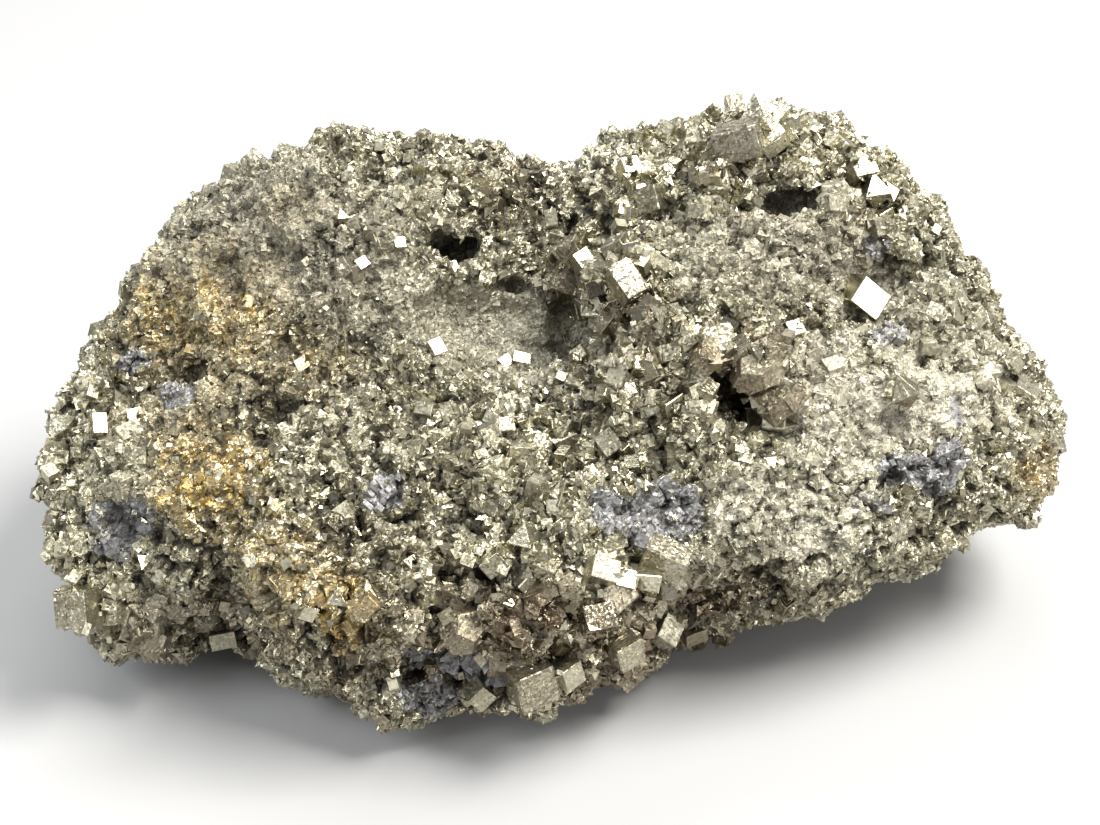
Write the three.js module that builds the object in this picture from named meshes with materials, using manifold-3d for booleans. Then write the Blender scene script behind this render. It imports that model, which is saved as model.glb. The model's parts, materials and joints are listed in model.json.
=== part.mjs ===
// A cabinet-size pyrite specimen: one natural mass of intergrown crystals, broken off the wall of a cavity.
//
// Millimetres, +Z up, +X to the right along the length, +Y to the back. The origin is the middle of the
// specimen's box, on the plane that it rests on. The broad crystal-covered face leans back from a low lip at
// the front to a ridge near the back, and the underside is cut flat where the mass rests.
import * as THREE from "three";
import { ImprovedNoise } from "three/addons/math/ImprovedNoise.js";
import { mergeVertices } from "three/addons/utils/BufferGeometryUtils.js";
import Module from "manifold-3d";

// ---- Driving dimensions ----

const HALF_LENGTH = 104; // from the middle to either end, before the ends are broken off
const STATIONS = 50; // sections along the length
const AROUND = 54; // points round each section, without the straight underside
const UNDERSIDE_POINTS = 8; // points across the underside, between the two feet

const FACE_LEAN = THREE.MathUtils.degToRad(33); // how far the broad face leans back from upright
const FACE_MIDDLE_HEIGHT = 45; // height of the point from which places on the face are measured

const CLUMP_SIZE = 17; // spacing of the large clumps of crystals
const CLUMP_RELIEF = 3.2; // how far the clumps stand out and the gaps between them go in
const KNOB_SIZE = 7; // spacing of the small knobs on the clumps
const KNOB_RELIEF = 1.8;
const CRYSTAL_OUT = 0.9; // how far a large crystal's centre stands off the surface
const DENT_SIZE = 24; // spacing of the shallow dents in the broken underside
const DENT_DEPTH = 5;
const REST_RADIUS = 14; // the underside stays flat within this distance of its middle
const FADE_ABOVE_FOOT = 7; // the relief fades out over this height above the resting plane

// ---- The outline: rails that run the length of the mass, as [x, y, z] ----

// The underside's front edge, where the mass lifts off the resting plane.
const FRONT_FOOT = [
  [-100, -26, 13], [-86, -26, 8], [-70, -22, 0], [-54, -28, 0], [-40, -38, 0], [-10, -41, 0],
  [16, -32, 0], [30, -20, 0], [52, -14, 0], [68, -6, 4], [84, 2, 12], [100, 2, 18],
];
// The lowest edge of the front, which overhangs the foot.
const LIP = [
  [-100, -33, 16], [-92, -36, 12], [-83, -38, 9], [-66, -38, 8], [-59, -36, 12], [-48, -51, 13],
  [-28, -61, 12], [-17, -54, 12], [-2, -57, 11], [8, -50, 13], [20, -46, 14], [34, -37, 20],
  [52, -35, 22], [62, -30, 24], [74, -27, 24], [82, -19, 25], [94, -14, 24], [100, -13, 25],
];
// Where the steep front turns over into the broad face.
const BROW = [
  [-100, -34, 34], [-90, -37, 35], [-70, -40, 36], [-50, -49, 36], [-28, -55, 37], [0, -52, 39],
  [24, -46, 38], [50, -40, 37], [76, -31, 37], [92, -18, 37], [100, -16, 35],
];
// The middle of the broad face.
const FACE = [
  [-100, -18, 44], [-88, -14, 51], [-66, -10, 61], [-40, -9, 62], [-14, -8, 59], [8, -12, 63],
  [30, -12, 70], [54, -8, 68], [76, -7, 58], [90, -4, 51], [100, -8, 44],
];
// The crest that the face rises to.
const RIDGE = [
  [-100, 0, 41], [-94, 3, 45], [-89, 8, 53], [-82, 12, 62], [-78, 16, 73], [-64, 20, 77], [-56, 22, 84],
  [-43, 24, 89], [-21, 26, 90], [-15, 26, 85], [-7, 26, 83], [0, 26, 79], [9, 26, 82], [12, 28, 87],
  [25, 28, 87], [39, 29, 93], [54, 28, 90], [70, 26, 81], [75, 24, 73], [83, 20, 63], [90, 15, 55],
  [96, 9, 49], [100, 8, 46],
];
// The back of the crest, and the widest stretch of the back.
const BACK_SHOULDER = [
  [-100, 18, 42], [-90, 24, 50], [-76, 34, 64], [-46, 43, 75], [-14, 45, 72], [2, 42, 66], [22, 47, 74],
  [46, 48, 78], [68, 42, 64], [86, 28, 48], [100, 20, 42],
];
const BACK = [
  [-100, 25, 28], [-90, 32, 28], [-72, 47, 31], [-44, 57, 35], [-20, 61, 30], [4, 56, 30], [24, 61, 34],
  [48, 62, 37], [70, 50, 33], [88, 34, 30], [100, 26, 30],
];
// The underside's back edge.
const BACK_FOOT = [
  [-100, 18, 13], [-84, 24, 8], [-66, 34, 0], [-40, 44, 0], [-14, 49, 0], [6, 43, 0], [28, 48, 0],
  [50, 42, 0], [66, 32, 4], [84, 22, 10], [100, 18, 16],
];
const RAILS = [FRONT_FOOT, LIP, BROW, FACE, RIDGE, BACK_SHOULDER, BACK, BACK_FOOT];

// The broken faces that close the two ends. Each is furthest out at its tip, [x, y, z], and curves back by
// "depth" over about "reach" from there.
const BREAKS = [
  { name: "left end", tip: [-98, -12, 40], reach: 20, depth: 8 },
  { name: "right end", tip: [101, -1, 33], reach: 14, depth: 8 },
];
const BREAK_FACET = 5; // spacing of the facets on a broken face
const BREAK_RELIEF = 1.8;

// ---- Features on the face ----
// "at" is [across, up] on the leaning face from its middle point, so a feature is set down where a line
// square to the face meets the mass. "out" is how far its centre stands off the surface there.

// Bulges (height above 0) and dishes (height below 0) that are part of the mass's own surface.
const SWELLS = [
  { at: [-43, 36], radius: 20, height: 3 }, // left crest
  { at: [45, 38], radius: 22, height: 3 }, // right crest
  { at: [1, 33], radius: 12, height: -5 }, // the valley that runs down from the notch
  { at: [2, 18], radius: 10, height: -6 }, // the valley's foot, against the spur
  { at: [14, 23], radius: 8, height: 7 }, // the spur right of the hollow
  { at: [17, 9], radius: 10, height: 6 }, // the spur's foot
  { at: [30, 16], radius: 14, height: 4 }, // the mound behind the spur
  { at: [41, 5], radius: 9, height: 6 }, // the knot above the dark recess
  { at: [-12, 14], radius: 16, height: -6 }, // the hollow's wide dish
  { at: [-60, 8], radius: 24, height: 2.5 }, // the stained swelling on the left
  { at: [70, -8], radius: 20, height: 3 }, // the smooth slope on the right
  { at: [-76, -22], radius: 14, height: 3 }, // the left corner
  { at: [-44, -32], radius: 14, height: 3 }, // the yellow broken block
  { at: [-64, -40], radius: 9, height: -3.5 }, // the gap beside that block
  { at: [-14, -34], radius: 9, height: -3.5 }, // the dent above the front hexagon
  { at: [6, -36], radius: 13, height: 3 }, // the block of larger crystals at the front
  { at: [24, -38], radius: 8, height: -3 }, // the crack right of that block
];

// Hollows and clefts cut into the mass: radii along across, up and out, turned about the face's normal.
const HOLLOWS = [
  { name: "vug", at: [-9, 13], out: 5, radii: [18, 9, 10], turn: -8 },
  { name: "vug corner", at: [4, 12], out: 0.5, radii: [6, 8, 9], turn: 24 },
  { name: "cave", at: [-19, 28], out: 0, radii: [5, 2.4, 9], turn: -8 },
  { name: "slit beside the cave", at: [-8, 20.5], out: 0, radii: [3.4, 1.6, 6], turn: 10 },
  { name: "recess under the knot", at: [35, -1.5], out: 0, radii: [7, 3, 10], turn: -32 },
  { name: "cleft under the right crest", at: [46, 36.5], out: 0, radii: [7, 2, 6], turn: 8 },
  { name: "pocket by the top crystals", at: [29, 51], out: 0, radii: [4, 2.4, 7], turn: 0 },
  { name: "pocket under the right crystal", at: [66, 36], out: 0, radii: [4.4, 2, 6], turn: -12 },
  { name: "left cleft", at: [-69, 4], out: 0, radii: [6, 1.7, 6], turn: -14 },
  { name: "front crack", at: [-12, -33.5], out: 0, radii: [8, 1.6, 6], turn: 6 },
];

// The largest crystals, with their three sizes before "spin" turns them about their own axes, in degrees.
// They stand off the surface by CRYSTAL_OUT unless "out" says otherwise.
const CRYSTALS = [
  { name: "mirror cube", form: "cube", at: [59.4, 18], size: [6.6, 5.2, 6], spin: [6, 16, -36] },
  { name: "corner block", form: "cube", at: [-87, -40], size: [6.5, 6.5, 7], out: 1.5, spin: [8, -24, 4] },
  { name: "striated prism", form: "cube", at: [14, 20], size: [5.6, 9, 6], out: 2.4, spin: [-20, 24, 20] },
  { name: "white crystal", form: "cube", at: [6, 25], size: [3.6, 3.6, 4], spin: [-8, 20, 30] },
  { name: "spur crystal", form: "octahedron", at: [9, 16], size: [5, 5, 5], spin: [40, 30, 10] },
  { name: "lower spur crystal", form: "cube", at: [11, 12], size: [4.4, 4, 4], spin: [20, 30, 44] },
  { name: "grey spur crystal", form: "cube", at: [13, 26], size: [4, 5, 4], spin: [24, -16, 30] },
  { name: "top crystal", form: "octahedron", at: [41, 52.5], size: [8, 8, 7], spin: [30, 12, 20] },
  { name: "grey top crystal", form: "cube", at: [37, 48.5], size: [8, 7, 8], spin: [-16, 28, 24] },
  { name: "top blade", form: "cube", at: [42, 49], size: [5, 3, 7], spin: [40, 20, 30] },
  { name: "second top blade", form: "cube", at: [46, 49.5], size: [5, 2.4, 6], spin: [30, -20, 36] },
  { name: "right blade", form: "cube", at: [60, 42], size: [5.4, 2.6, 5], spin: [-20, 20, 14] },
  { name: "right crystal", form: "octahedron", at: [62.5, 38.5], size: [5, 5, 5], spin: [10, 60, 10] },
  { name: "crest crystal", form: "cube", at: [15, 43], size: [4, 4, 4], spin: [30, 12, 30] },
  { name: "crest cube", form: "cube", at: [29.6, 40.8], size: [3.5, 3.5, 3.5], spin: [8, 10, 12] },
  { name: "knot crystal", form: "pyritohedron", at: [40, 4], size: [9, 8, 8], spin: [24, 8, 40] },
  { name: "knot crystal below", form: "cube", at: [42, -1.5], size: [6, 6, 6], spin: [38, 34, 20] },
  { name: "knot corner", form: "cube", at: [46, -4], size: [4, 4, 4], spin: [10, 24, 40] },
  { name: "slope crystal", form: "octahedron", at: [65.5, 0.5], size: [5.4, 5.4, 5], spin: [20, 10, 20] },
  { name: "left bright crystal", form: "cube", at: [-85, -6.5], size: [5, 5, 4], spin: [30, 16, 22] },
  { name: "left edge crystal", form: "octahedron", at: [-93, -7], size: [4.4, 4.4, 4], spin: [0, 30, 40] },
  { name: "lower left crystal", form: "cube", at: [-62, -47], size: [4, 4, 4], out: 1.4, spin: [8, 6, 10] },
  { name: "front hexagon", form: "pyritohedron", at: [-15.7, -43], size: [8, 8, 8], spin: [14, 10, 62] },
  { name: "front block", form: "cube", at: [-3.5, -52.5], size: [7, 7, 7], out: 1.5, spin: [24, 24, 12] },
  { name: "front wedge", form: "cube", at: [21, -30.5], size: [7.4, 5, 5], spin: [34, -16, -18] },
  { name: "front long cube", form: "cube", at: [9.2, -31.8], size: [4.6, 3.6, 4], spin: [-14, 22, -12] },
  { name: "front bright cube", form: "cube", at: [13.2, -34], size: [3.2, 3.2, 3.2], spin: [8, 12, -4] },
  { name: "front flat cube", form: "cube", at: [17, -33.5], size: [4.6, 2.6, 4], spin: [24, 10, -10] },
  { name: "front pyramid", form: "octahedron", at: [-4.5, -26.5], size: [4.6, 4.6, 4], spin: [34, 20, 0] },
  { name: "lower front cube", form: "cube", at: [13.6, -47], size: [4.6, 5, 4.6], spin: [30, 30, 14] },
  { name: "lower right cube", form: "cube", at: [21.6, -45], size: [4, 4.6, 4], spin: [-12, 30, -28] },
  { name: "lower middle cube", form: "cube", at: [3, -51], size: [4, 4, 4], spin: [16, 40, 18] },
  { name: "low left front cube", form: "cube", at: [-13, -55.5], size: [3.6, 3.6, 3.6], spin: [30, 20, 40] },
];

// ---- Small geometry helpers ----

// The [y, z] of a rail at length x, eased between its points so that the mass has no sharp folds.
function railAt(rail, x) {
  const last = rail.length - 1;
  if (x <= rail[0][0]) return [rail[0][1], rail[0][2]];
  if (x >= rail[last][0]) return [rail[last][1], rail[last][2]];
  const next = rail.findIndex((point) => point[0] > x);
  const [a, b] = [rail[next - 1], rail[next]];
  const t = (x - a[0]) / (b[0] - a[0]);
  return [THREE.MathUtils.lerp(a[1], b[1], t), THREE.MathUtils.lerp(a[2], b[2], t)];
}

// A closed solid for joining and cutting, from any three.js geometry.
function solidOf(wasm, geometry) {
  const bare = geometry.clone();
  bare.deleteAttribute("normal");
  bare.deleteAttribute("uv");
  const merged = mergeVertices(bare, 1e-4);
  return new wasm.Manifold(new wasm.Mesh({
    numProp: 3,
    vertProperties: merged.getAttribute("position").array,
    triVerts: new Uint32Array(merged.index.array),
  }));
}

function geometryOf(solid) {
  const mesh = solid.getMesh();
  const geometry = new THREE.BufferGeometry();
  geometry.setAttribute("position", new THREE.BufferAttribute(new Float32Array(mesh.vertProperties), 3));
  geometry.setIndex(new THREE.BufferAttribute(new Uint32Array(mesh.triVerts), 1));
  geometry.computeVertexNormals();
  return geometry;
}

// ---- The mass ----

// One section: a smooth open curve from the front foot over the top to the back foot, then the underside.
// "shift" moves its points along by a share of their spacing, so that neighbouring sections are staggered.
function sectionAt(x, shift) {
  const corners = RAILS.map((rail) => {
    const [y, z] = railAt(rail, x);
    return new THREE.Vector3(x, y, z);
  });
  const curve = new THREE.CatmullRomCurve3(corners, false, "centripetal");
  const [frontFoot, backFoot] = [corners[0], corners[corners.length - 1]];
  const over = [frontFoot];
  for (let i = 1; i < AROUND - 1; i++) over.push(curve.getPointAt((i - shift) / (AROUND - 1)));
  over.push(backFoot);
  const under = [];
  for (let i = 1; i <= UNDERSIDE_POINTS; i++) {
    under.push(backFoot.clone().lerp(frontFoot, i / (UNDERSIDE_POINTS + 1)));
  }
  return [...over, ...under];
}

function centreOf(points) {
  return points.reduce((sum, point) => sum.add(point), new THREE.Vector3()).divideScalar(points.length);
}

// The smooth mass as an indexed geometry: sections joined by quads, and a fan on each end.
function loftedMass() {
  const positions = [];
  const triangles = [];
  const ring = AROUND + UNDERSIDE_POINTS;
  const last = STATIONS - 1;
  for (let i = 0; i < STATIONS; i++) {
    const x = THREE.MathUtils.lerp(-HALF_LENGTH, HALF_LENGTH, i / last);
    for (const point of sectionAt(x, i % 2 ? 0.5 : 0)) positions.push(x, point.y, point.z);
  }
  for (let i = 0; i < last; i++) {
    for (let j = 0; j < ring; j++) {
      const a = i * ring + j;
      const b = i * ring + ((j + 1) % ring);
      if (i % 2) triangles.push(a, a + ring, b, b, a + ring, b + ring);
      else triangles.push(a, a + ring, b + ring, a, b + ring, b);
    }
  }
  for (const end of [0, last]) {
    const first = end * ring;
    const rim = [];
    for (let j = 0; j < ring; j++) rim.push(new THREE.Vector3().fromArray(positions, (first + j) * 3));
    const middle = positions.length / 3;
    positions.push(...centreOf(rim).toArray());
    for (let j = 0; j < ring; j++) {
      const [a, b] = [first + j, first + ((j + 1) % ring)];
      triangles.push(...(end === 0 ? [middle, a, b] : [middle, b, a]));
    }
  }
  const geometry = new THREE.BufferGeometry();
  geometry.setAttribute("position", new THREE.Float32BufferAttribute(positions, 3));
  geometry.setIndex(triangles);
  geometry.computeVertexNormals();
  return geometry;
}

const noise = new ImprovedNoise();

// Rounded clumps with narrow gaps between them, from -1 to 1: the fold of the noise makes the gaps.
function clumps(point, size, shift) {
  const fine = noise.noise(point.x / size + shift, point.y / size, point.z / size - shift);
  const broad = noise.noise(point.x / (2 * size), point.y / (2 * size) + shift, point.z / (2 * size));
  return 1 - 2.6 * Math.abs(fine) + 0.8 * broad - 0.55;
}

// The waste beyond a broken end: a block whose inner side is the rough, bowed break.
function breakCutter({ tip: [x, y, z], reach, depth }) {
  const [thick, wide, high] = [60, 150, 130];
  const side = Math.sign(x);
  const rows = Math.round(wide / BREAK_FACET);
  const columns = Math.round(high / BREAK_FACET);
  const cutter = new THREE.BoxGeometry(thick, wide, high, 1, columns, rows);
  const position = cutter.getAttribute("position");
  const point = new THREE.Vector3();
  for (let i = 0; i < position.count; i++) {
    point.fromBufferAttribute(position, i);
    const inner = point.x * side < 0;
    const bow = depth * (Math.hypot(1, Math.hypot(point.y, point.z) / reach) - 1);
    point.add(new THREE.Vector3(0, y, z));
    const relief = BREAK_RELIEF * (clumps(point, CLUMP_SIZE, 1.3) + clumps(point, KNOB_SIZE, 6.1));
    position.setXYZ(i, x + side * (inner ? relief - bow : thick), point.y, point.z);
  }
  return cutter;
}

// Directions on the leaning face: "up" it and square "out" of it.
const FACE_UP = new THREE.Vector3(0, Math.sin(FACE_LEAN), Math.cos(FACE_LEAN));
const FACE_OUT = new THREE.Vector3(0, -Math.cos(FACE_LEAN), Math.sin(FACE_LEAN));

function facePoint([across, up], out) {
  return new THREE.Vector3(across, 0, FACE_MIDDLE_HEIGHT)
    .addScaledVector(FACE_UP, up)
    .addScaledVector(FACE_OUT, out);
}

// How far the underside is broken away above the resting plane at a point of it.
function dentAt(point) {
  const depth = DENT_DEPTH * Math.max(0, clumps(point, DENT_SIZE, 5.3));
  return depth * THREE.MathUtils.smoothstep(Math.hypot(point.x, point.y), REST_RADIUS, 2 * REST_RADIUS);
}

// Adds the swells, clumps and knobs to the smooth mass, and dents to its underside.
function roughened(geometry) {
  const position = geometry.getAttribute("position");
  const normal = geometry.getAttribute("normal");
  const point = new THREE.Vector3();
  const outward = new THREE.Vector3();
  const moved = [];
  for (let i = 0; i < position.count; i++) {
    point.fromBufferAttribute(position, i);
    outward.fromBufferAttribute(normal, i);
    let height = CLUMP_RELIEF * clumps(point, CLUMP_SIZE, 3.7) + KNOB_RELIEF * clumps(point, KNOB_SIZE, 9.1);
    height *= THREE.MathUtils.smoothstep(point.z, 0, FADE_ABOVE_FOOT);
    const facing = Math.max(0, outward.dot(FACE_OUT));
    for (const swell of SWELLS) {
      const middle = facePoint(swell.at, 0);
      const off = point.clone().sub(middle);
      const distance = off.addScaledVector(FACE_OUT, -off.dot(FACE_OUT)).length() / swell.radius;
      height += facing * swell.height * Math.exp(-distance * distance);
    }
    const at = point.clone().addScaledVector(outward, height);
    if (point.z < 0.01) at.z = dentAt(point);
    moved.push(at);
  }
  moved.forEach((at, i) => position.setXYZ(i, at.x, at.y, at.z));
  return geometry;
}

// ---- Features set on the face ----

// A place on the face: the outermost point of the mass on the line square to the face, moved "out" from it.
function seatOn(mass, { name, at, out = CRYSTAL_OUT }) {
  const from = facePoint(at, 4 * HALF_LENGTH);
  const hits = new THREE.Raycaster(from, FACE_OUT.clone().negate()).intersectObject(mass);
  if (!hits.length) throw new Error(name + " misses the mass");
  return hits[0].point.clone().addScaledVector(FACE_OUT, out);
}

// The face's own axes as a rotation: X across, Y up and Z out.
const FACE_TURN = new THREE.Quaternion().setFromRotationMatrix(
  new THREE.Matrix4().makeBasis(new THREE.Vector3(1, 0, 0), FACE_UP, FACE_OUT),
);

function placed(geometry, turn, at) {
  return geometry.applyQuaternion(FACE_TURN.clone().multiply(turn)).translate(at.x, at.y, at.z);
}

// A hollow's cutter: a knobbly ellipsoid.
function hollowCutter(hollow, mass) {
  const cutter = new THREE.IcosahedronGeometry(1, hollow.radii[0] > 10 ? 3 : 2).scale(...hollow.radii);
  const position = cutter.getAttribute("position");
  const point = new THREE.Vector3();
  for (let i = 0; i < position.count; i++) {
    point.fromBufferAttribute(position, i);
    point.multiplyScalar(1 + 0.16 * noise.noise(point.x / 4 + hollow.at[0], point.y / 4, point.z / 4));
    position.setXYZ(i, point.x, point.y, point.z);
  }
  const turn = new THREE.Quaternion().setFromAxisAngle(
    new THREE.Vector3(0, 0, 1),
    THREE.MathUtils.degToRad(hollow.turn),
  );
  return placed(cutter, turn, seatOn(mass, hollow));
}

// A crystal of unit size in one of the three habits, stretched to its three sizes.
const HABITS = {
  cube: new THREE.BoxGeometry(1, 1, 1),
  octahedron: new THREE.OctahedronGeometry(0.72),
  pyritohedron: new THREE.DodecahedronGeometry(0.58),
};

function crystalGeometry({ form, size }) {
  return HABITS[form].clone().scale(...size);
}

function crystalOn(crystal, mass) {
  const [x, y, z] = crystal.spin.map(THREE.MathUtils.degToRad);
  const turn = new THREE.Quaternion().setFromEuler(new THREE.Euler(x, y, z));
  return placed(crystalGeometry(crystal), turn, seatOn(mass, crystal));
}

// Everything above the resting plane.
function abovePlane() {
  const side = 4 * HALF_LENGTH;
  return new THREE.BoxGeometry(side, side, side).translate(0, 0, side / 2);
}

// ---- The specimen ----

async function pyriteMass() {
  const wasm = await Module();
  wasm.setup();
  const surface = roughened(loftedMass());
  surface.computeBoundingSphere();
  const mass = new THREE.Mesh(surface);
  let solid = solidOf(wasm, surface);
  for (const end of BREAKS) solid = solid.subtract(solidOf(wasm, breakCutter(end)));
  for (const hollow of HOLLOWS) solid = solid.subtract(solidOf(wasm, hollowCutter(hollow, mass)));
  for (const crystal of CRYSTALS) solid = solid.add(solidOf(wasm, crystalOn(crystal, mass)));
  solid = solid.intersect(solidOf(wasm, abovePlane()));
  const pieces = solid.decompose().sort((a, b) => b.volume() - a.volume());
  const geometry = geometryOf(pieces[0]);
  geometry.computeBoundingBox();
  const middle = geometry.boundingBox.getCenter(new THREE.Vector3());
  return geometry.translate(-middle.x, -middle.y, 0);
}

const pyrite = new THREE.MeshStandardMaterial({ color: 0x8c8468, roughness: 0.38, metalness: 0.95 });
const mass = new THREE.Mesh(await pyriteMass(), pyrite);
mass.name = "pyrite_mass";

const specimen = new THREE.Group();
specimen.add(mass);

export default specimen;
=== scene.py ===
"""A lump of massive pyrite crusted with small crystals, resting on its broken underside in a plain studio."""

import functools
import json
import math

import bmesh
import bpy
import numpy as np
from bpy.props import FloatProperty, FloatVectorProperty, IntProperty, PointerProperty
from mathutils import Matrix, Vector
from mathutils.bvhtree import BVHTree

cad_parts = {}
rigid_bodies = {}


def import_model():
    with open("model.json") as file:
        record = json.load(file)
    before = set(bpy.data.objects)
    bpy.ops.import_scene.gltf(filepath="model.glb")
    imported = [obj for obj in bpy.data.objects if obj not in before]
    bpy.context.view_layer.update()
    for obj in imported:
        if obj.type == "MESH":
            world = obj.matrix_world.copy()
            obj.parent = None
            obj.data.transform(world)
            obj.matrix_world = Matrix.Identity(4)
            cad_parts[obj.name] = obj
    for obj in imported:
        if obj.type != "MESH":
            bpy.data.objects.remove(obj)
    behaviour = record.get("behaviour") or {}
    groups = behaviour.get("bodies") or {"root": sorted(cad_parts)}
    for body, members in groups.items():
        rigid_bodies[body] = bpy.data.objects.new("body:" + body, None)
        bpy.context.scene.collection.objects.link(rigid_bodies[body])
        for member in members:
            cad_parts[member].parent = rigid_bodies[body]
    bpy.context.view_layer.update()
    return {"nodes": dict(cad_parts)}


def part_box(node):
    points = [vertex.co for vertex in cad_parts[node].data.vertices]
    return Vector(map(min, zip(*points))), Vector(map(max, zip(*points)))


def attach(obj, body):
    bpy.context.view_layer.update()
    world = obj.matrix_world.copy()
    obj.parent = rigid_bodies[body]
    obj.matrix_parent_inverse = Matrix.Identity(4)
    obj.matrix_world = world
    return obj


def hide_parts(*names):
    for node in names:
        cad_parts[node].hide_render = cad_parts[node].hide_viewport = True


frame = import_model()

bl_info = {
    "name": "Pyrite specimen",
    "version": (1, 0, 0),
    "blender": (4, 5, 0),
    "location": "View3D > Sidebar > Specimen",
    "description": "Builds a crystal-crusted lump of pyrite around its packed solid",
    "category": "Add Mesh",
}

MM = 0.001
NODE = "pyrite_mass"
BODY = "root"
MOST_TRIANGLES = 200_000  # in one piece
OVERLAP = 0.0055  # how far the pieces of ore reach into each other

# ---- The broad crusted face, which leans back. Places on it are (across, up) in mm from its middle ----

LEAN = math.radians(33)
ACROSS = np.array([1.0, 0.0, 0.0])
UP = np.array([0.0, math.sin(LEAN), math.cos(LEAN)])
OUT = np.array([0.0, -math.cos(LEAN), math.sin(LEAN)])
MIDDLE_HEIGHT = 0.045
MIDDLE_SHIFT = -0.0018  # the middle of the face lies a little left of the middle of the box

# The ore is cut behind its crusted face, and the face is cut again into three. Each cut of a piece is
# (direction, distance from the middle of the face, side that is kept).
BEHIND = -0.01
LEFT_CUT, RIGHT_CUT = -0.036, 0.030
ORE_PIECES = {
    "ore_face_left": ((OUT, BEHIND, 1), (ACROSS, LEFT_CUT, -1)),
    "ore_face_middle": ((OUT, BEHIND, 1), (ACROSS, LEFT_CUT, 1), (ACROSS, RIGHT_CUT, -1)),
    "ore_face_right": ((OUT, BEHIND, 1), (ACROSS, RIGHT_CUT, 1)),
    "ore_back": ((OUT, BEHIND, -1),),
}

# Zones of the face: (across, up, half width, half height, turn in degrees, strength).
STAINED = [
    (-66, 15, 17, 13, 10, 0.95), (-76, 8, 7, 8, 0, 0.6), (-62, -15, 13, 10, -20, 0.95),
    (-58, -28, 9, 6, 0, 0.5), (-38, -39, 6, 9, 15, 1.0), (-50, 36, 6, 4, 0, 0.45),
    (95, -16, 6, 5, 0, 0.7), (-45, 6, 9, 6, 0, 0.45), (-49, -32, 11, 8, 0, 0.65), (-66, 0, 14, 16, 0, 0.45),
]
FILMED = [
    (-48, 30, 26, 15, -14, 0.85), (-72, 28, 12, 9, 0, 0.7), (-8, 12, 20, 8, -6, 0.95),
    (-30, 17, 16, 8, 0, 0.75), (48, 26, 17, 11, 0, 0.75), (-30, -4, 18, 9, 0, 0.2), (30, 28, 8, 9, 0, 0.6),
    (-78, -14, 8, 6, 0, 0.35), (-66, -40, 14, 7, 0, 0.4), (76, 16, 16, 16, 0, 0.6), (-64, 6, 14, 16, 0, 0.45),
]
SUGARED = [
    (66, -1, 19, 8, 6, 1.0), (50, 0, 9, 8, 0, 0.7), (54, -13, 12, 7, -10, 0.6), (53, 9, 5, 3, 0, 0.8),
    (62, 20, 10, 6, 0, 0.45), (82, 2, 10, 9, 0, 0.55), (40, 30, 9, 6, 0, 0.25),
    (44, -22, 17, 8, -10, 0.7), (24, -32, 10, 4, 0, 0.3), (-9, 12.5, 20, 8, -8, 0.22),
]
LEADED = [
    (20, -22, 8.5, 6.5, 8, 1.0), (10, -21, 3, 3.5, 0, 0.9), (-30, -18, 4.5, 4, 0, 0.85),
    (-79, -24, 7, 4.5, 20, 0.75), (-82, -29, 5, 3, 0, 0.6), (-80, 6, 4, 3.2, 0, 0.7),
    (-71, 0, 4.5, 3.2, 0, 0.8),
    (67, -14, 6.5, 3.5, 16, 1.0), (75, -12, 5, 4, 30, 1.0), (72, -18, 4.5, 2.6, 0, 0.9),
    (77, -4, 2, 3, 0, 0.8), (63, 28, 3, 2.6, 0, 0.8), (65, 12, 4.5, 2.2, 20, 0.9),
    (-22, -57, 5.5, 4, 0, 0.8), (-11, -51, 5, 3, 0, 0.8), (-21, -49, 4, 3, 0, 0.7), (60, -20, 5, 3, 0, 0.5),
    (-34, 12, 4, 3, 0, 0.35), (33, -12, 4, 3, 0, 0.3),
]
COARSE = [
    (0, -42, 34, 15, 0, 1.0), (40, 4, 15, 9, -20, 1.0), (11, 20, 13, 11, -40, 1.0), (24, 40, 15, 9, 0, 0.8),
    (40, 48, 14, 7, 0, 1.0), (62, 38, 9, 10, 0, 0.9), (-84, -14, 10, 22, 0, 0.6), (-78, -42, 16, 8, 0, 0.8),
    (-8, 38, 9, 7, 0, 0.6), (20, 4, 18, 10, -30, 0.85), (70, 14, 10, 6, 0, 0.45), (-28, 34, 14, 9, 0, 0.3),
    (0, -14, 28, 13, 0, 0.5), (84, 8, 12, 14, 0, 0.5), (20, -50, 18, 9, 0, 0.9),
    (-20, 2, 14, 6, 0, 0.5), (-44, -16, 12, 12, 0, 0.3),
]
BROKEN = [(-49, -37, 12, 9, 20, 1.0), (-37, -43, 6, 9, 0, 0.7), (-60, -36, 6, 5, 0, 0.5)]
SMOOTH = [(-9, 12.5, 18, 7.5, -8, 1.0), (-22, 19, 13, 7, -30, 0.6)]
# BROWNED: zones coloured bronze brown, which stands both for tarnish and for a painted dark reflection in the
# crystals of the front.
BROWNED = [
    (0, -46, 44, 13, 0, 1.0), (-62, -44, 24, 7, 0, 0.6), (40, 3, 15, 9, -20, 0.7), (9, 15, 12, 9, -40, 0.6),
    (26, -42, 22, 8, 20, 0.8), (34, 44, 12, 5, 0, 0.4), (-6, 42, 8, 8, 0, 0.5), (-30, -30, 12, 8, 0, 0.3),
    (-48, 28, 24, 14, 0, 0.35), (48, 26, 17, 11, 0, 0.4),
]
BRIGHT = [
    (-85, -18, 10, 22, 0, 1.0), (50, -24, 20, 10, 0, 0.5), (0, -38, 32, 16, 0, 0.5),
    (84, 10, 10, 10, 0, 0.5), (-48, 38, 20, 8, 0, 0.3),
    (30, 44, 26, 10, 0, 0.5), (-5, -12, 30, 12, 0, 0.35), (-49, -37, 12, 8, 0, 0.5),
]
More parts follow.
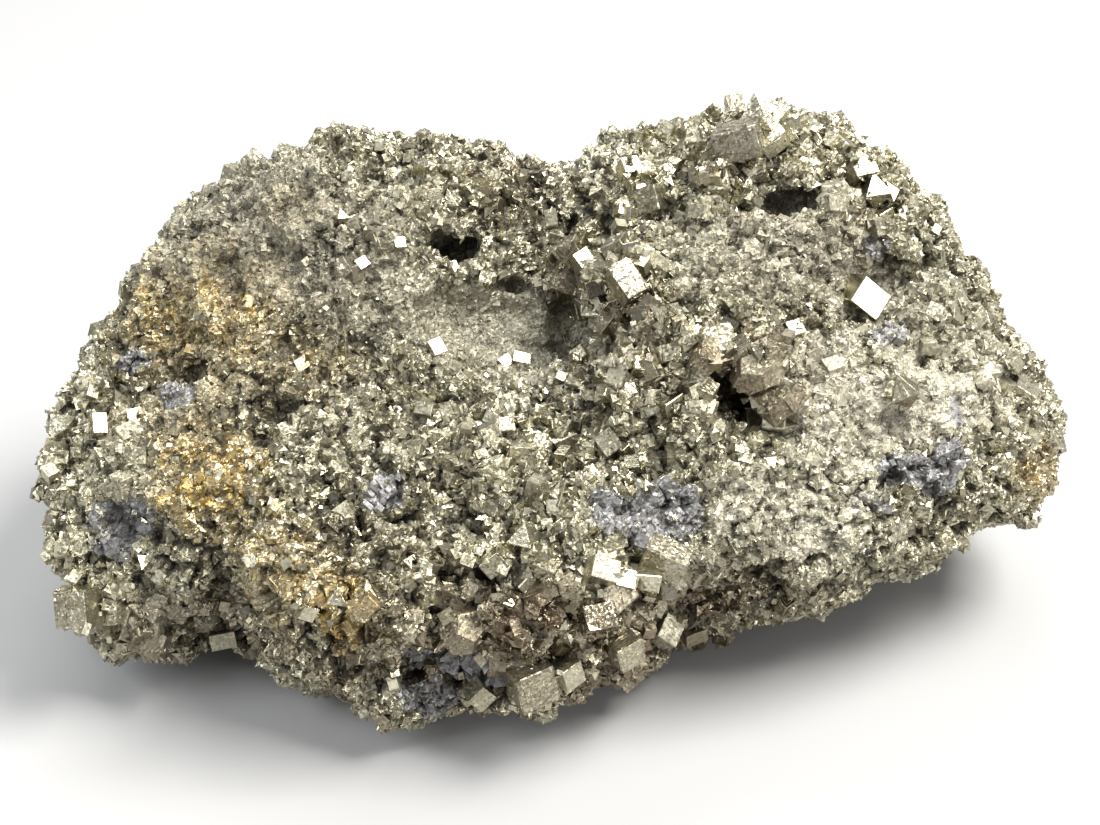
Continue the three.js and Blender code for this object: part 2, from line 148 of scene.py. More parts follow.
# SHADED: hollows and slits pressed into the ore, whose colour is also darkened there as painted shade.
SHADED = [
    (33, 0, 7, 1.3, -32, 1.0), (38, -4, 4, 1.2, 0, 1.0), (5, 14, 8, 3, -45, 0.5),
    (-8, 20.5, 3.4, 0.8, 0, 0.9), (-19, 28, 4.6, 1.6, 0, 1.0),
    (0, 8.5, 7, 0.9, -8, 0.7), (66, -15.5, 6, 1.8, 16, 0.75), (75, -13, 4, 1.6, 30, 0.7),
    (78, -2, 1.4, 2.4, 0, 0.6), (46, 36.5, 6, 1.8, 10, 0.6), (29, 51, 3, 2, 0, 0.6), (66, 36, 3, 2, 0, 0.6),
    (-69, 4, 5, 3, 0, 0.6), (-12, -33.5, 11, 2.6, 0, 0.9), (-20, -52, 24, 7, -10, 0.45),
    (16, -48, 18, 5, 20, 0.45),
    (-40, 8, 6, 12, 60, 0.35), (-20, -12, 8, 3, 0, 0.5), (36, 12, 7, 3, 0, 0.5), (60, 22, 6, 3, 0, 0.3),
    (-55, -4, 8, 3, 0, 0.4), (10, 33, 8, 4, 0, 0.5), (-4, 44, 4, 6, 0, 0.6),
]

# The crystals large enough to have a place of their own: form, (across, up), edges in millimetres,
# turn about the face's own axes in degrees, and how bright they are from 0 to 1.
LARGE_CRYSTALS = {
    "corner_block": ("stepped", (-87, -40), (6.5, 6.5, 7), (8, -24, 4), 0.5),
    "striated_prism": ("stepped", (14, 20), (4.2, 6.4, 4.4), (-20, 10, 34), 0.4),
    "white_crystal": ("cube", (6, 25), (3, 3, 3), (-22, 18, 38), 1.0),
    "spur_crystal": ("octahedron", (9, 16), (5, 5, 5), (40, 30, 10), 0.6),
    "lower_spur_crystal": ("cube", (11, 12), (4.4, 4, 4), (20, 30, 44), 0.5),
    "grey_spur_crystal": ("stepped", (13, 26), (4, 5, 4), (24, -16, 30), 0.3),
    "top_crystal": ("octahedron", (41, 52.5), (8, 8, 7), (30, 12, 20), 0.7),
    "grey_top_crystal": ("stepped", (36, 48), (8.4, 5.6, 7), (24, -12, 16), 0.12),
    "top_blade": ("stepped", (42, 49), (5, 3, 7), (40, 20, 30), 0.8),
    "second_top_blade": ("cube", (46, 49.5), (5, 2.4, 6), (30, -20, 36), 0.8),
    "right_blade": ("cube", (60, 42), (4.8, 1.7, 4), (-20, 20, 22), 0.6),
    "right_crystal": ("octahedron", (62.5, 38.5), (5, 5, 5), (10, 60, 10), 0.8),
    "crest_crystal": ("stepped", (15, 43), (3, 2.6, 3.4), (-24, 17, 20), 1.0),
    "crest_cube": ("cube", (29.6, 40.8), (2.6, 2.6, 2.6), (-24, 15, 14), 1.0),
    "knot_crystal": ("pyritohedron", (38, 3.5), (9.4, 6.6, 8), (24, 8, 20), 0.08),
    "knot_crystal_below": ("stepped", (41, -2), (5.4, 5, 5), (38, 34, 20), 0.08),
    "knot_corner": ("cube", (44, -1), (3.6, 3.4, 3.4), (10, 24, 40), 0.08),
    "knot_upper_crystal": ("stepped", (41, 8), (4.2, 3.6, 4), (30, 12, -20), 0.08),
    "knot_left_crystal": ("octahedron", (31, 6), (5.4, 5, 5), (20, -24, 10), 0.08),
    "golden_crystal": ("octahedron", (66, 0), (5, 5, 5), (10, 40, 30), 0.35),
    "slope_crystal": ("octahedron", (65.5, 0.5), (5.4, 5.4, 5), (20, 10, 20), 0.6),
    "left_bright_crystal": ("stepped", (-85, -6.5), (2.2, 3.5, 3), (-20, 20, 8), 1.0),
    "left_edge_crystal": ("octahedron", (-93, -7), (4.4, 4.4, 4), (0, 30, 40), 0.8),
    "lower_left_crystal": ("cube", (-62, -47), (4.4, 2.6, 4), (8, 6, 10), 0.45),
    "front_hexagon": ("pyritohedron", (-15.7, -43), (8, 8, 8), (14, 10, 62), 0.1),
    "front_block": ("stepped", (-3.5, -52.5), (7, 7, 7), (24, 24, 12), 0.35),
    "front_wedge": ("stepped", (21, -30.5), (7.4, 5, 5), (34, -16, -18), 0.3),
    "front_long_cube": ("cube", (9.2, -31.8), (4.6, 3.6, 4), (-14, 22, -12), 0.7),
    "front_bright_cube": ("cube", (13.2, -34), (3, 3, 3), (-24, 17, -8), 1.0),
    "front_flat_cube": ("cube", (17, -33.5), (4.6, 2.6, 4), (24, 10, -10), 0.9),
    "front_pyramid": ("octahedron", (-4.5, -26.5), (4.6, 4.6, 4), (34, 20, 0), 0.7),
    "lower_front_cube": ("stepped", (13.6, -47), (4.6, 5, 4.6), (30, 30, 14), 0.5),
    "lower_right_cube": ("cube", (21.6, -45), (4, 4.6, 4), (-12, 30, -28), 0.6),
    "lower_middle_cube": ("cube", (3, -51), (4, 4, 4), (16, 40, 18), 0.5),
    "vug_rim_crystal": ("stepped", (-22, 8), (2.3, 2.7, 2.6), (-24, 17, 30), 1.0),
    "vug_lip_crystal": ("stepped", (-6, 6), (3, 1.8, 2.6), (-24, 17, -6), 1.0),
    "second_vug_lip_crystal": ("stepped", (-9, 5.4), (2.2, 1.8, 2.4), (-22, 16, 40), 0.9),
    "left_corner_glint": ("stepped", (-79, -5), (2.6, 2.2, 2.4), (-24, 17, 20), 1.0),
    "upper_left_glint": ("octahedron", (-40, 33), (2.2, 2, 2), (10, -10, 0), 1.0),
    "second_upper_left_glint": ("cube", (-36, 24), (1.9, 1.7, 2), (-24, 17, 40), 1.0),
    "third_upper_left_glint": ("cube", (-29, 28), (1.7, 1.7, 2), (-22, 17, 10), 1.0),
    "fourth_upper_left_glint": ("octahedron", (-27, 34), (2, 1.8, 2), (-26, 15, 60), 0.8),
    "middle_glint": ("cube", (10, -2), (2, 2.2, 2), (-24, 17, 34), 1.0),
    "low_left_front_cube": ("cube", (-13, -55.5), (3.6, 3.6, 3.6), (30, 20, 40), 0.5),
}
MIRROR_CUBE = ("cube", (59.4, 18), (6.8, 5.2, 6), (8, 24, -36), 1.0)


# ---- Settings ----

def length(name, description, default, **limits):
    return FloatProperty(
        name=name, description=description, default=default, subtype="DISTANCE", unit="LENGTH", precision=5,
        **limits)


def tone(name, description, default):
    return FloatVectorProperty(
        name=name, description=description, default=default, subtype="COLOR", min=0, max=1)


def power(name, description, default):
    return FloatProperty(name=name, description=description, default=default, unit="POWER")


class CrustSettings(bpy.types.PropertyGroup):
    seed: IntProperty(name="Seed", description="Start of every random draw", default=11, min=0)
    grain: length("Grain", "Edge of the smallest facets of the massive ore", 0.00077, min=0.0004, max=0.005)
    back_grain: length(
        "Grain of the back", "Edge of the smallest facets round the back and underneath",
        0.00165, min=0.0005, max=0.005)
    lump_size: length("Lump size", "Width of the rounded lumps of the crust", 0.0074)
    lump_rise: length("Lump rise", "Height of the lumps above the creases between them", 0.0021)
    knob_size: length("Knob size", "Width of the small knobs on the lumps", 0.0027)
    knob_rise: length("Knob rise", "Height of the small knobs", 0.0006)
    block_size: length("Block size", "Width of the flat, tipped facets that break up the crust", 0.0046)
    block_rise: length("Block rise", "Height of the steps between those facets", 0.0013)


class CrystalSettings(bpy.types.PropertyGroup):
    fine_size: length("Fine crystal", "Usual edge of the fine crystals of the crust", 0.00082)
    fine_cover: FloatProperty(
        name="Fine crystals per mm2", description="How closely the fine crystals stand on the crusted face",
        default=1.5, min=0.0, max=4.0)
    coarse_size: length("Coarse crystal", "Usual edge of the coarse crystals", 0.0025)
    coarse_cover: FloatProperty(
        name="Coarse crystals per mm2",
        description="How closely the coarse crystals stand in the coarse zones",
        default=0.12, min=0.0, max=1.0)
    dusting: FloatProperty(
        name="Fine crystals on coarse ones",
        description="How many to each square millimetre of coarse crystal",
        default=0.3, min=0.0, max=3.0)
    proud: length(
        "Large crystal allowance", "How far each large crystal stands over its packed solid", 0.00025)


class ColourSettings(bpy.types.PropertyGroup):
    clean: tone("Clean pyrite", "Pale brassy grey of fresh crystal faces", (0.52, 0.49, 0.365))
    deep: tone("Deep pyrite", "Olive brown of duller faces", (0.20, 0.18, 0.125))
    # Brown stands both for tarnish and for a painted reflection of a dark surface in the crystals of the front.
    brown: tone("Brown pyrite", "Bronze brown of the tarnished crystals of the front", (0.19, 0.145, 0.098))
    stain: tone("Iron stain", "Orange brown iron stain", (0.46, 0.315, 0.08))
    film: tone("Film", "Grey brown dust on the sheltered parts", (0.23, 0.214, 0.162))
    sugar: tone("Sugary crust", "Pale cream crust of the right hand slope", (0.50, 0.47, 0.375))
    lead: tone("Galena", "Blue grey of the galena patches", (0.254, 0.248, 0.24))
    # Painted shade: the brown black towards which pits, creases and hollows are darkened.
    cavity: tone("Cavity", "Brown black of the pits between crystals", (0.018, 0.014, 0.008))
    floor: tone("Floor", "Plain pale floor", (0.43, 0.427, 0.42))


class StudioSettings(bpy.types.PropertyGroup):
    lens: FloatProperty(name="Lens", description="Focal length in millimetres", default=75.0, min=10.0)
    distance: length("Camera distance", "From the middle of the crusted face to the camera", 0.45)
    height_angle: FloatProperty(
        name="Camera height angle", description="How far above level the camera stands",
        default=LEAN, subtype="ANGLE", unit="ROTATION")
    key_power: power("Key lamp", "Large lamp high at the right", 13.8)
    side_power: power("Side lamp", "Low lamp at the right front", 3.0)
    fill_power: power("Fill lamp", "Weaker lamp at the left", 4.5)
    rim_power: power("Top lamp", "Lamp over the back", 5.0)
    ambient: FloatProperty(
        name="Ambient light", description="Strength of the even light", default=0.42, min=0)


class SpecimenSettings(bpy.types.PropertyGroup):
    crust: PointerProperty(type=CrustSettings, name="Crust", description="Sizes of the crust")
    crystals: PointerProperty(type=CrystalSettings, name="Crystals", description="Sizes of the crystals")
    colours: PointerProperty(type=ColourSettings, name="Colours", description="Colours of the minerals")
    studio: PointerProperty(type=StudioSettings, name="Studio", description="Camera and lamps")


def settings():
    return bpy.context.scene.specimen


# ---- Random fields, the same on every run ----

def scrambled(cells, seed):
    """Three random numbers from 0 to 1 for each whole-numbered cell (..., 3)."""
    whole = cells.astype(np.int64)
    key = whole[..., 0] * 374761393 + whole[..., 1] * 668265263 + whole[..., 2] * 1442695041 + seed * 97561
    key = key.astype(np.uint64)
    numbers = []
    for turn in (np.uint64(1274126177), np.uint64(2246822519), np.uint64(3266489917)):
        key = (key ^ (key >> np.uint64(15))) * turn
        key = key ^ (key >> np.uint64(13))
        numbers.append((key & np.uint64(0xFFFFF)).astype(float) / 0xFFFFF)
    return np.stack(numbers, axis=-1)


def soft_noise(points, size, seed):
    """Smooth noise from -1 to 1 whose waves are about `size` wide."""
    places = points / size
    corner = np.floor(places)
    share = places - corner
    share = share * share * (3 - 2 * share)
    total = np.zeros(len(points))
    for dx in (0, 1):
        for dy in (0, 1):
            for dz in (0, 1):
                value = scrambled(corner + np.array([dx, dy, dz]), seed)[:, 0]
                weight = (
                    (share[:, 0] if dx else 1 - share[:, 0])
                    * (share[:, 1] if dy else 1 - share[:, 1])
                    * (share[:, 2] if dz else 1 - share[:, 2])
                )
                total += value * weight
    return total * 2 - 1


def cells(points, size, seed):
    """For each point: its height in a field of lumps about `size` wide, from 0 in a crease to 1 at a middle,
    the random numbers of its own lump, and its height, about -1 to 1, if each lump is instead a flat facet
    tipped its own way."""
    places = points / size
    corner = np.floor(places)
    nearest = np.full(len(points), 9.0)
    second = np.full(len(points), 9.0)
    owner = np.zeros((len(points), 3))
    offset = np.zeros((len(points), 3))
    for dx in (-1, 0, 1):
        for dy in (-1, 0, 1):
            for dz in (-1, 0, 1):
                cell = corner + np.array([dx, dy, dz])
                draws = scrambled(cell, seed)
                away = places - cell - draws
                gap = np.linalg.norm(away, axis=1)
                closer = gap < nearest
                second = np.where(closer, nearest, np.minimum(second, gap))
                nearest = np.where(closer, gap, nearest)
                owner[closer] = draws[closer]
                offset[closer] = away[closer]
    crease = np.clip((second - nearest) * 1.6, 0, 1)
    tipped = (offset * (owner[:, [1, 2, 0]] * 2 - 1)).sum(axis=1) * 2 + owner[:, 2] - 0.5
    return crease, owner, tipped


def eased_step(values, low, high):
    share = np.clip((values - low) / (high - low), 0, 1)
    return share * share * (3 - 2 * share)


# ---- Zones ----

# Turns noise off the axes, so that its grid doesn't show.
SKEWED = np.array(Matrix.Rotation(0.7, 3, (1.0, 2.0, 3.0)))


def face_middle():
    low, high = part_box(NODE)
    return np.array([(low.x + high.x) / 2 + MIDDLE_SHIFT, (low.y + high.y) / 2, low.z + MIDDLE_HEIGHT])


def face_places(points):
    """(across, up, out) in millimetres of points on the crusted face."""
    moved = (points - face_middle()) / MM
    return np.stack([moved @ ACROSS, moved @ UP, moved @ OUT], axis=1)


def zone(places, patches, ragged, edge=0.45):
    """Strength from 0 to 1 of a list of patches at places on the face. Noise makes their edges ragged."""
    total = np.zeros(len(places))
    for across, up, wide, high, turn, strength in patches:
        angle = math.radians(turn)
        dx, dy = places[:, 0] - across, places[:, 1] - up
        along = (dx * math.cos(angle) + dy * math.sin(angle)) / wide
        over = (dy * math.cos(angle) - dx * math.sin(angle)) / high
        reach = np.hypot(along, over) + ragged
        total = np.maximum(total, strength * (1 - eased_step(reach, 1 - edge, 1 + edge)))
    return total


def zones(points, normals):
    """Every zone's strength at points with these outward normals: the lists on the crusted face, and plain
    noise round the back."""
    places = face_places(points)
    seen = eased_step(normals @ OUT, -0.35, 0.1)
    back = 1 - seen
    ragged = 0.34 * soft_noise(points, 0.0045, 5) + 0.22 * soft_noise(points, 0.0018, 6)
    bends = [soft_noise(points, 0.011, seed) for seed in (23, 24, 25)]
    bent = points @ SKEWED + 0.006 * np.stack(bends, axis=1)
    broad = soft_noise(bent, 0.022, 21)
    other = soft_noise(bent, 0.026, 22)
    found = {
        "stain": zone(places, STAINED, ragged) * seen + back * 0.7 * eased_step(broad, 0.3, 0.7),
        "film": zone(places, FILMED, ragged) * seen + back * 0.6 * eased_step(other, -0.2, 0.5),
        "sugar": zone(places, SUGARED, ragged * 1.2) * seen + back * 0.5 * eased_step(-broad, 0.35, 0.7),
        "lead": zone(places, LEADED, ragged * 0.8, 0.25) * seen
        + back * 0.9 * eased_step(-other + 0.5 * ragged, 0.5, 0.66),
        "coarse": zone(places, COARSE, ragged) * seen + back * 0.35 * eased_step(other * broad, 0.02, 0.3),
        "broken": zone(places, BROKEN, ragged) * seen,
        "smooth": zone(places, SMOOTH, ragged * 0.4) * seen,
        "bright": zone(places, BRIGHT, ragged) * seen + back * 0.4 * eased_step(broad, -0.2, 0.4),
        "shade": zone(places, SHADED, ragged * 0.7) * seen,
        "brown": zone(places, BROWNED, ragged) * seen,
    }
    found["under"] = eased_step(-normals[:, 2], 0.35, 0.8)
    return found


# ---- Meshes as arrays ----

def read(items, name, width, kind=np.float32):
    """One property of every item, as rows of `width` numbers."""
    numbers = np.empty(len(items) * width, kind)
    items.foreach_get(name, numbers)
    return numbers.reshape(-1, width)


def arrays_of(mesh):
    return read(mesh.vertices, "co", 3).astype(float), read(mesh.edges, "vertices", 2, np.int32)


def vertex_normals(mesh):
    return read(mesh.vertex_normals, "vector", 3).astype(float)


def set_points(mesh, points):
    mesh.vertices.foreach_set("co", points.astype(np.float32).ravel())
    mesh.update()


def eased(points, edges, rounds, share=0.5):
    """Each vertex drawn towards the average of its neighbours, several times."""
    count = np.bincount(edges.ravel(), minlength=len(points))[:, None]
    for _ in range(rounds):
        total = np.stack([
            np.bincount(edges[:, 0], points[edges[:, 1], axis], len(points))
            + np.bincount(edges[:, 1], points[edges[:, 0], axis], len(points))
            for axis in range(3)
        ], axis=1)
        points = points + share * (total / np.maximum(count, 1) - points)
    return points


def keep_values(mesh, values):
    """Stores one number per vertex under each name, for the materials."""
    for name, numbers in values.items():
        layer = mesh.attributes.get(name) or mesh.attributes.new(name, "FLOAT", "POINT")
        layer.data.foreach_set("value", np.asarray(numbers, np.float32))


def values_of(mesh, name):
    return read(mesh.attributes[name].data, "value", 1)[:, 0].astype(float)


def triangles_in(mesh):
    return len(mesh.loops) - 2 * len(mesh.polygons)


def object_from(name, mesh):
    if triangles_in(mesh) >= MOST_TRIANGLES:
        raise RuntimeError(f"{name} has {triangles_in(mesh)} triangles; make its crystals larger or fewer")
    piece = bpy.data.objects.new(name, mesh)
    bpy.context.scene.collection.objects.link(piece)
    return piece


def settle(piece, material):
    """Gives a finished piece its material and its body."""
    piece.data.materials.clear()
    piece.data.materials.append(material)
    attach(piece, BODY)


# ---- Crystal forms: points and faces of one crystal with edges about 1 ----

def form_from(bm):
    bmesh.ops.recalc_face_normals(bm, faces=bm.faces)
    bm.verts.index_update()
    points = np.array([vert.co[:] for vert in bm.verts])
    faces = [tuple(vert.index for vert in face.verts) for face in bm.faces]
    bm.free()
    return points, faces


def plain_cube():
    bm = bmesh.new()
    bmesh.ops.create_cube(bm, size=1)
    return form_from(bm)


def bevelled_cube(width):
    bm = bmesh.new()
    bmesh.ops.create_cube(bm, size=1)
    bmesh.ops.bevel(bm, geom=bm.edges[:], offset=width, segments=1, affect="EDGES", profile=0.5)
    return form_from(bm)


def convex_form(points, bevel=0.0):
    """The smallest closed form round these points, with flat faces joined and its edges taken off."""
    bm = bmesh.new()
    for point in points:
        bm.verts.new(point)
    bmesh.ops.convex_hull(bm, input=bm.verts)
    bmesh.ops.dissolve_limit(bm, angle_limit=math.radians(4), verts=bm.verts, edges=bm.edges)
    if bevel:
        bmesh.ops.bevel(bm, geom=bm.edges[:], offset=bevel, segments=1, affect="EDGES", profile=0.5)
    return form_from(bm)


def octahedron(bevel=0.0):
    reach = 0.72
    ends = [
        tuple(sign * reach if axis == own else 0 for axis in range(3))
        for own in range(3) for sign in (-1, 1)]
    return convex_form(ends, bevel)


def pyritohedron(bevel=0.0):
    golden = (1 + math.sqrt(5)) / 2
    scale = 0.58 / math.sqrt(3)
    points = [(x, y, z) for x in (-1, 1) for y in (-1, 1) for z in (-1, 1)]
    for a in (-1 / golden, 1 / golden):
        for b in (-golden, golden):
            points += [(0, a, b), (a, b, 0), (b, 0, a)]
    return convex_form([tuple(c * scale for c in point) for point in points], bevel)


def cube_corner():
    """One corner of a cube standing on its cut face: three square-on facets over a triangle."""
    base = [(0.816 * math.cos(a), 0.816 * math.sin(a), -0.15) for a in (0.0, math.tau / 3, 2 * math.tau / 3)]
    return convex_form([(0.0, 0.0, 0.577)] + base)


def stepped_block(rng):
    """A block with growth steps: thin plates lie on some of its faces, each smaller than the face."""
    points, faces = bevelled_cube(0.02)
    points = points.tolist()
    plate_points, plate_faces = bevelled_cube(0.02)
    for axis in range(3):
        for side in (-1, 1):
            for step in range(rng.integers(1, 4)):
                wide = rng.uniform(0.25, 0.85, 3)
                room = (0.96 - wide) / 2
                shift = rng.uniform(-1, 1, 3) * room
                wide[axis] = 0.035 + 0.02 * step
                shift[axis] = side * 0.5
                faces += [tuple(index + len(points) for index in face) for face in plate_faces]
                points += (plate_points * wide + shift).tolist()
    return np.array(points), faces


# ---- Swarms of crystals ----

def random_turns(rng, count):
    """Rotation matrices (count, 3, 3) spread evenly over every orientation."""
    q = rng.normal(size=(count, 4))
    q /= np.linalg.norm(q, axis=1)[:, None]
    w, x, y, z = q.T
    rows = [
        1 - 2 * (y * y + z * z), 2 * (x * y - z * w), 2 * (x * z + y * w),
        2 * (x * y + z * w), 1 - 2 * (x * x + z * z), 2 * (y * z - x * w),
        2 * (x * z - y * w), 2 * (y * z + x * w), 1 - 2 * (x * x + y * y),
    ]
    return np.stack(rows, axis=1).reshape(-1, 3, 3)


def turns_to(normals, rng, tilt):
    """Rotations that carry Z near each normal, with a random spin and up to about `tilt` of lean."""
    lean = normals + rng.normal(scale=tilt, size=normals.shape)
    z = lean / np.linalg.norm(lean, axis=1)[:, None]
    any_way = rng.normal(size=z.shape)
    x = any_way - z * (any_way * z).sum(1)[:, None]
    x /= np.linalg.norm(x, axis=1)[:, None]
    return np.stack([x, np.cross(z, x), z], axis=2)


def swarm_mesh(name, groups):
    """One mesh of many separate closed crystals. Each group is its form, its crystals' placings (n, 3, 3),
    their centres (n, 3), and their values by name."""
    points, corners, starts, values = [], [], [], {}
    first_point, first_corner = 0, 0
    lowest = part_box(NODE)[0].z
    for (form_points, form_faces), placings, centres, numbers in groups:
        count, size = len(centres), len(form_points)
        if not count:
            continue
        placed = np.einsum("nij,kj->nki", placings, form_points) + centres[:, None, :]
        placed[:, :, 2] += np.maximum(lowest - placed[:, :, 2].min(axis=1), 0)[:, None]
        points.append(placed.reshape(-1, 3))
        loop = np.array([index for face in form_faces for index in face])
        start = np.cumsum([0] + [len(face) for face in form_faces])[:-1]
        corners.append((loop[None, :] + size * np.arange(count)[:, None] + first_point).ravel())
        starts.append((start[None, :] + len(loop) * np.arange(count)[:, None] + first_corner).ravel())
        first_point += count * size
        first_corner += count * len(loop)
        lengths = np.linalg.norm(placings, axis=1)
        stripe = (form_points[None, :, 1] * lengths[:, 1, None]).ravel() / MM
        values.setdefault("stripe", []).append(stripe)
        for key, number in numbers.items():
            values.setdefault(key, []).append(np.repeat(number, size))
    points, corners, starts = np.concatenate(points), np.concatenate(corners), np.concatenate(starts)
    mesh = bpy.data.meshes.new(name)
    mesh.vertices.add(len(points))
    mesh.vertices.foreach_set("co", points.astype(np.float32).ravel())
    mesh.loops.add(len(corners))
    mesh.loops.foreach_set("vertex_index", corners.astype(np.int32))
    mesh.polygons.add(len(starts))
    mesh.polygons.foreach_set("loop_start", starts.astype(np.int32))
    mesh.update(calc_edges=True)
    mesh.shade_flat()
    keep_values(mesh, {key: np.concatenate(parts) for key, parts in values.items()})
    return mesh


# ---- Materials ----

MINERALS = ("Clean", "Deep", "Brown", "Stain", "Film", "Sugar", "Lead", "Cavity")
PATCHES_PER_METRE = 110.0
SPECKS_PER_METRE = 1100.0
GRAIN_PER_METRE = 2600.0
LINES_PER_MM = 3.2
BUMP_DEPTH = 0.00012


def new_group(name, inputs, outputs):
    """An empty node group with sockets of the kinds given by name, and the sockets to link inside it."""
    tree = bpy.data.node_groups.new(name, "ShaderNodeTree")
    for side, sockets in (("INPUT", inputs), ("OUTPUT", outputs)):
        for socket, kind in sockets.items():
            tree.interface.new_socket(socket, in_out=side, socket_type=f"NodeSocket{kind}")
    return tree, tree.nodes.new("NodeGroupInput").outputs, tree.nodes.new("NodeGroupOutput").inputs


def add_node(tree, kind, inputs=None, **options):
    """A node with its options set and its inputs linked to sockets or set to values."""
    node = tree.nodes.new(kind)
    for key, value in options.items():
        setattr(node, key, value)
    for key, value in (inputs or {}).items():
        if isinstance(value, bpy.types.NodeSocket):
            tree.links.new(value, node.inputs[key])
        else:
            node.inputs[key].default_value = value
    return node


def maths(tree, operation, first, second=0.0, third=0.0, clamp=False):
    inputs = {0: first, 1: second, 2: third}
    return add_node(tree, "ShaderNodeMath", inputs, operation=operation, use_clamp=clamp).outputs[0]


def blend(tree, share, first, second, kind="MIX"):
    """Colour mixed from first to second by share."""
    inputs = {0: share, 6: first, 7: second}
    return add_node(tree, "ShaderNodeMix", inputs, data_type="RGBA", blend_type=kind).outputs[2]


def attribute(tree, name):
    return add_node(tree, "ShaderNodeAttribute", attribute_name=name).outputs["Fac"]


def noise(tree, place, scale, detail=2.0, rough=0.5):
    return add_node(
        tree, "ShaderNodeTexNoise", {"Vector": place, "Scale": scale, "Detail": detail, "Roughness": rough}
    ).outputs["Fac"]


def place_in(tree):
    return add_node(tree, "ShaderNodeTexCoord").outputs["Object"]


def weathering_and_shade_group():
    """Colour, roughness and metal share of weathered ore, with painted shade in its pits, from the values that
    every piece carries.
    """
    found = bpy.data.node_groups.get("ore weathering and shade")
    if found:
        return found
    inputs = {name: "Color" for name in MINERALS}
    inputs |= {name: "Float" for name in ("Polish", "Matt", "Dullness", "Grains per metre", "Grain contrast")}
    tree, given, result = new_group(
        "ore weathering and shade", inputs, {"Colour": "Color", "Roughness": "Float", "Metal": "Float"})

    def times(first, second):
        return maths(tree, "MULTIPLY", first, second, clamp=True)

    def scaled(value, factor, offset, clamp=True):
        return maths(tree, "MULTIPLY_ADD", value, factor, offset, clamp)

    def most(first, second):
        return maths(tree, "MAXIMUM", first, second)

    place = place_in(tree)
    patch = noise(tree, place, PATCHES_PER_METRE, 3.0, 0.6)
    speck = noise(tree, place, SPECKS_PER_METRE, 2.0, 0.6)
    carried = ("tint", "stain", "film", "sugar", "lead", "cavity", "brown", "polish")
    tint, stain, film, sugar, lead, cavity, brown, polish = (attribute(tree, name) for name in carried)
    depth = scaled(maths(tree, "SUBTRACT", patch, 0.5), 1.5, tint)
    colour = blend(tree, depth, given["Clean"], given["Deep"])
    # Browning: tarnish, and a painted dark reflection in the crystals of the front.
    browned = times(maths(tree, "MULTIPLY", brown, scaled(patch, 1.8, -0.2)), 0.85)
    stained = times(stain, scaled(speck, 3.4, -1.1))
    filmed = times(film, scaled(speck, 0.8, 0.4, False))
    sugared = times(sugar, scaled(speck, 0.7, 0.5, False))
    for share, name in (
        (browned, "Brown"), (times(stain, 0.5), "Brown"), (stained, "Stain"), (filmed, "Film"),
        (sugared, "Sugar"), (lead, "Lead"),
    ):
        colour = blend(tree, share, colour, given[name])
    grains = add_node(tree, "ShaderNodeTexVoronoi", {"Vector": place, "Scale": given["Grains per metre"]})
    shade = add_node(tree, "ShaderNodeSeparateColor", {0: grains.outputs["Color"]}).outputs[0]
    shade = maths(tree, "MULTIPLY", maths(tree, "SUBTRACT", shade, 0.45), given["Grain contrast"])
    shade = maths(tree, "ADD", shade, 1.0)
    grain_shade = add_node(tree, "ShaderNodeCombineColor", {0: shade, 1: shade, 2: shade})
    colour = blend(tree, 1.0, colour, grain_shade.outputs[0], "MULTIPLY")
    # Painted shade: the colour darkens towards brown black in pits, creases and hollows.
    colour = blend(tree, cavity, colour, given["Cavity"])
    dull = most(filmed, most(maths(tree, "MULTIPLY", stained, 0.35), sugared))
    dull = most(dull, most(maths(tree, "MULTIPLY", cavity, 0.8), maths(tree, "MULTIPLY", lead, 0.45)))
    unpolished = maths(tree, "SUBTRACT", 1.0, polish)
    spread = maths(tree, "MULTIPLY_ADD", unpolished, given["Matt"], given["Polish"])
    span = maths(tree, "SUBTRACT", given["Dullness"], spread)
    tree.links.new(colour, result["Colour"])
    tree.links.new(scaled(span, dull, spread), result["Roughness"])
    metal = maths(tree, "SUBTRACT", 1.0, maths(tree, "MULTIPLY", dull, 0.75), clamp=True)
    tree.links.new(metal, result["Metal"])
    return tree


def facet_group():
    """A normal broken into small flat facets, each tipped its own way and least where the ore is polished."""
    found = bpy.data.node_groups.get("small facets")
    if found:
        return found
    tree, given, result = new_group(
        "small facets", {"Facets per metre": "Float", "Tip": "Float"}, {"Normal": "Vector"})

    def vectors(operation, inputs):
        return add_node(tree, "ShaderNodeVectorMath", inputs, operation=operation).outputs[0]

    facets = add_node(
        tree, "ShaderNodeTexVoronoi", {"Vector": place_in(tree), "Scale": given["Facets per metre"]})
    centred = vectors("SUBTRACT", {0: facets.outputs["Color"], 1: (0.5, 0.5, 0.5)})
    tip = maths(tree, "MULTIPLY", given["Tip"], maths(tree, "SUBTRACT", 1.05, attribute(tree, "polish")))
    lean = vectors("SCALE", {0: centred, "Scale": tip})
    flat = add_node(tree, "ShaderNodeNewGeometry").outputs["Normal"]
    tipped = vectors("NORMALIZE", {0: vectors("ADD", {0: flat, 1: lean})})
    tree.links.new(tipped, result["Normal"])
    return tree


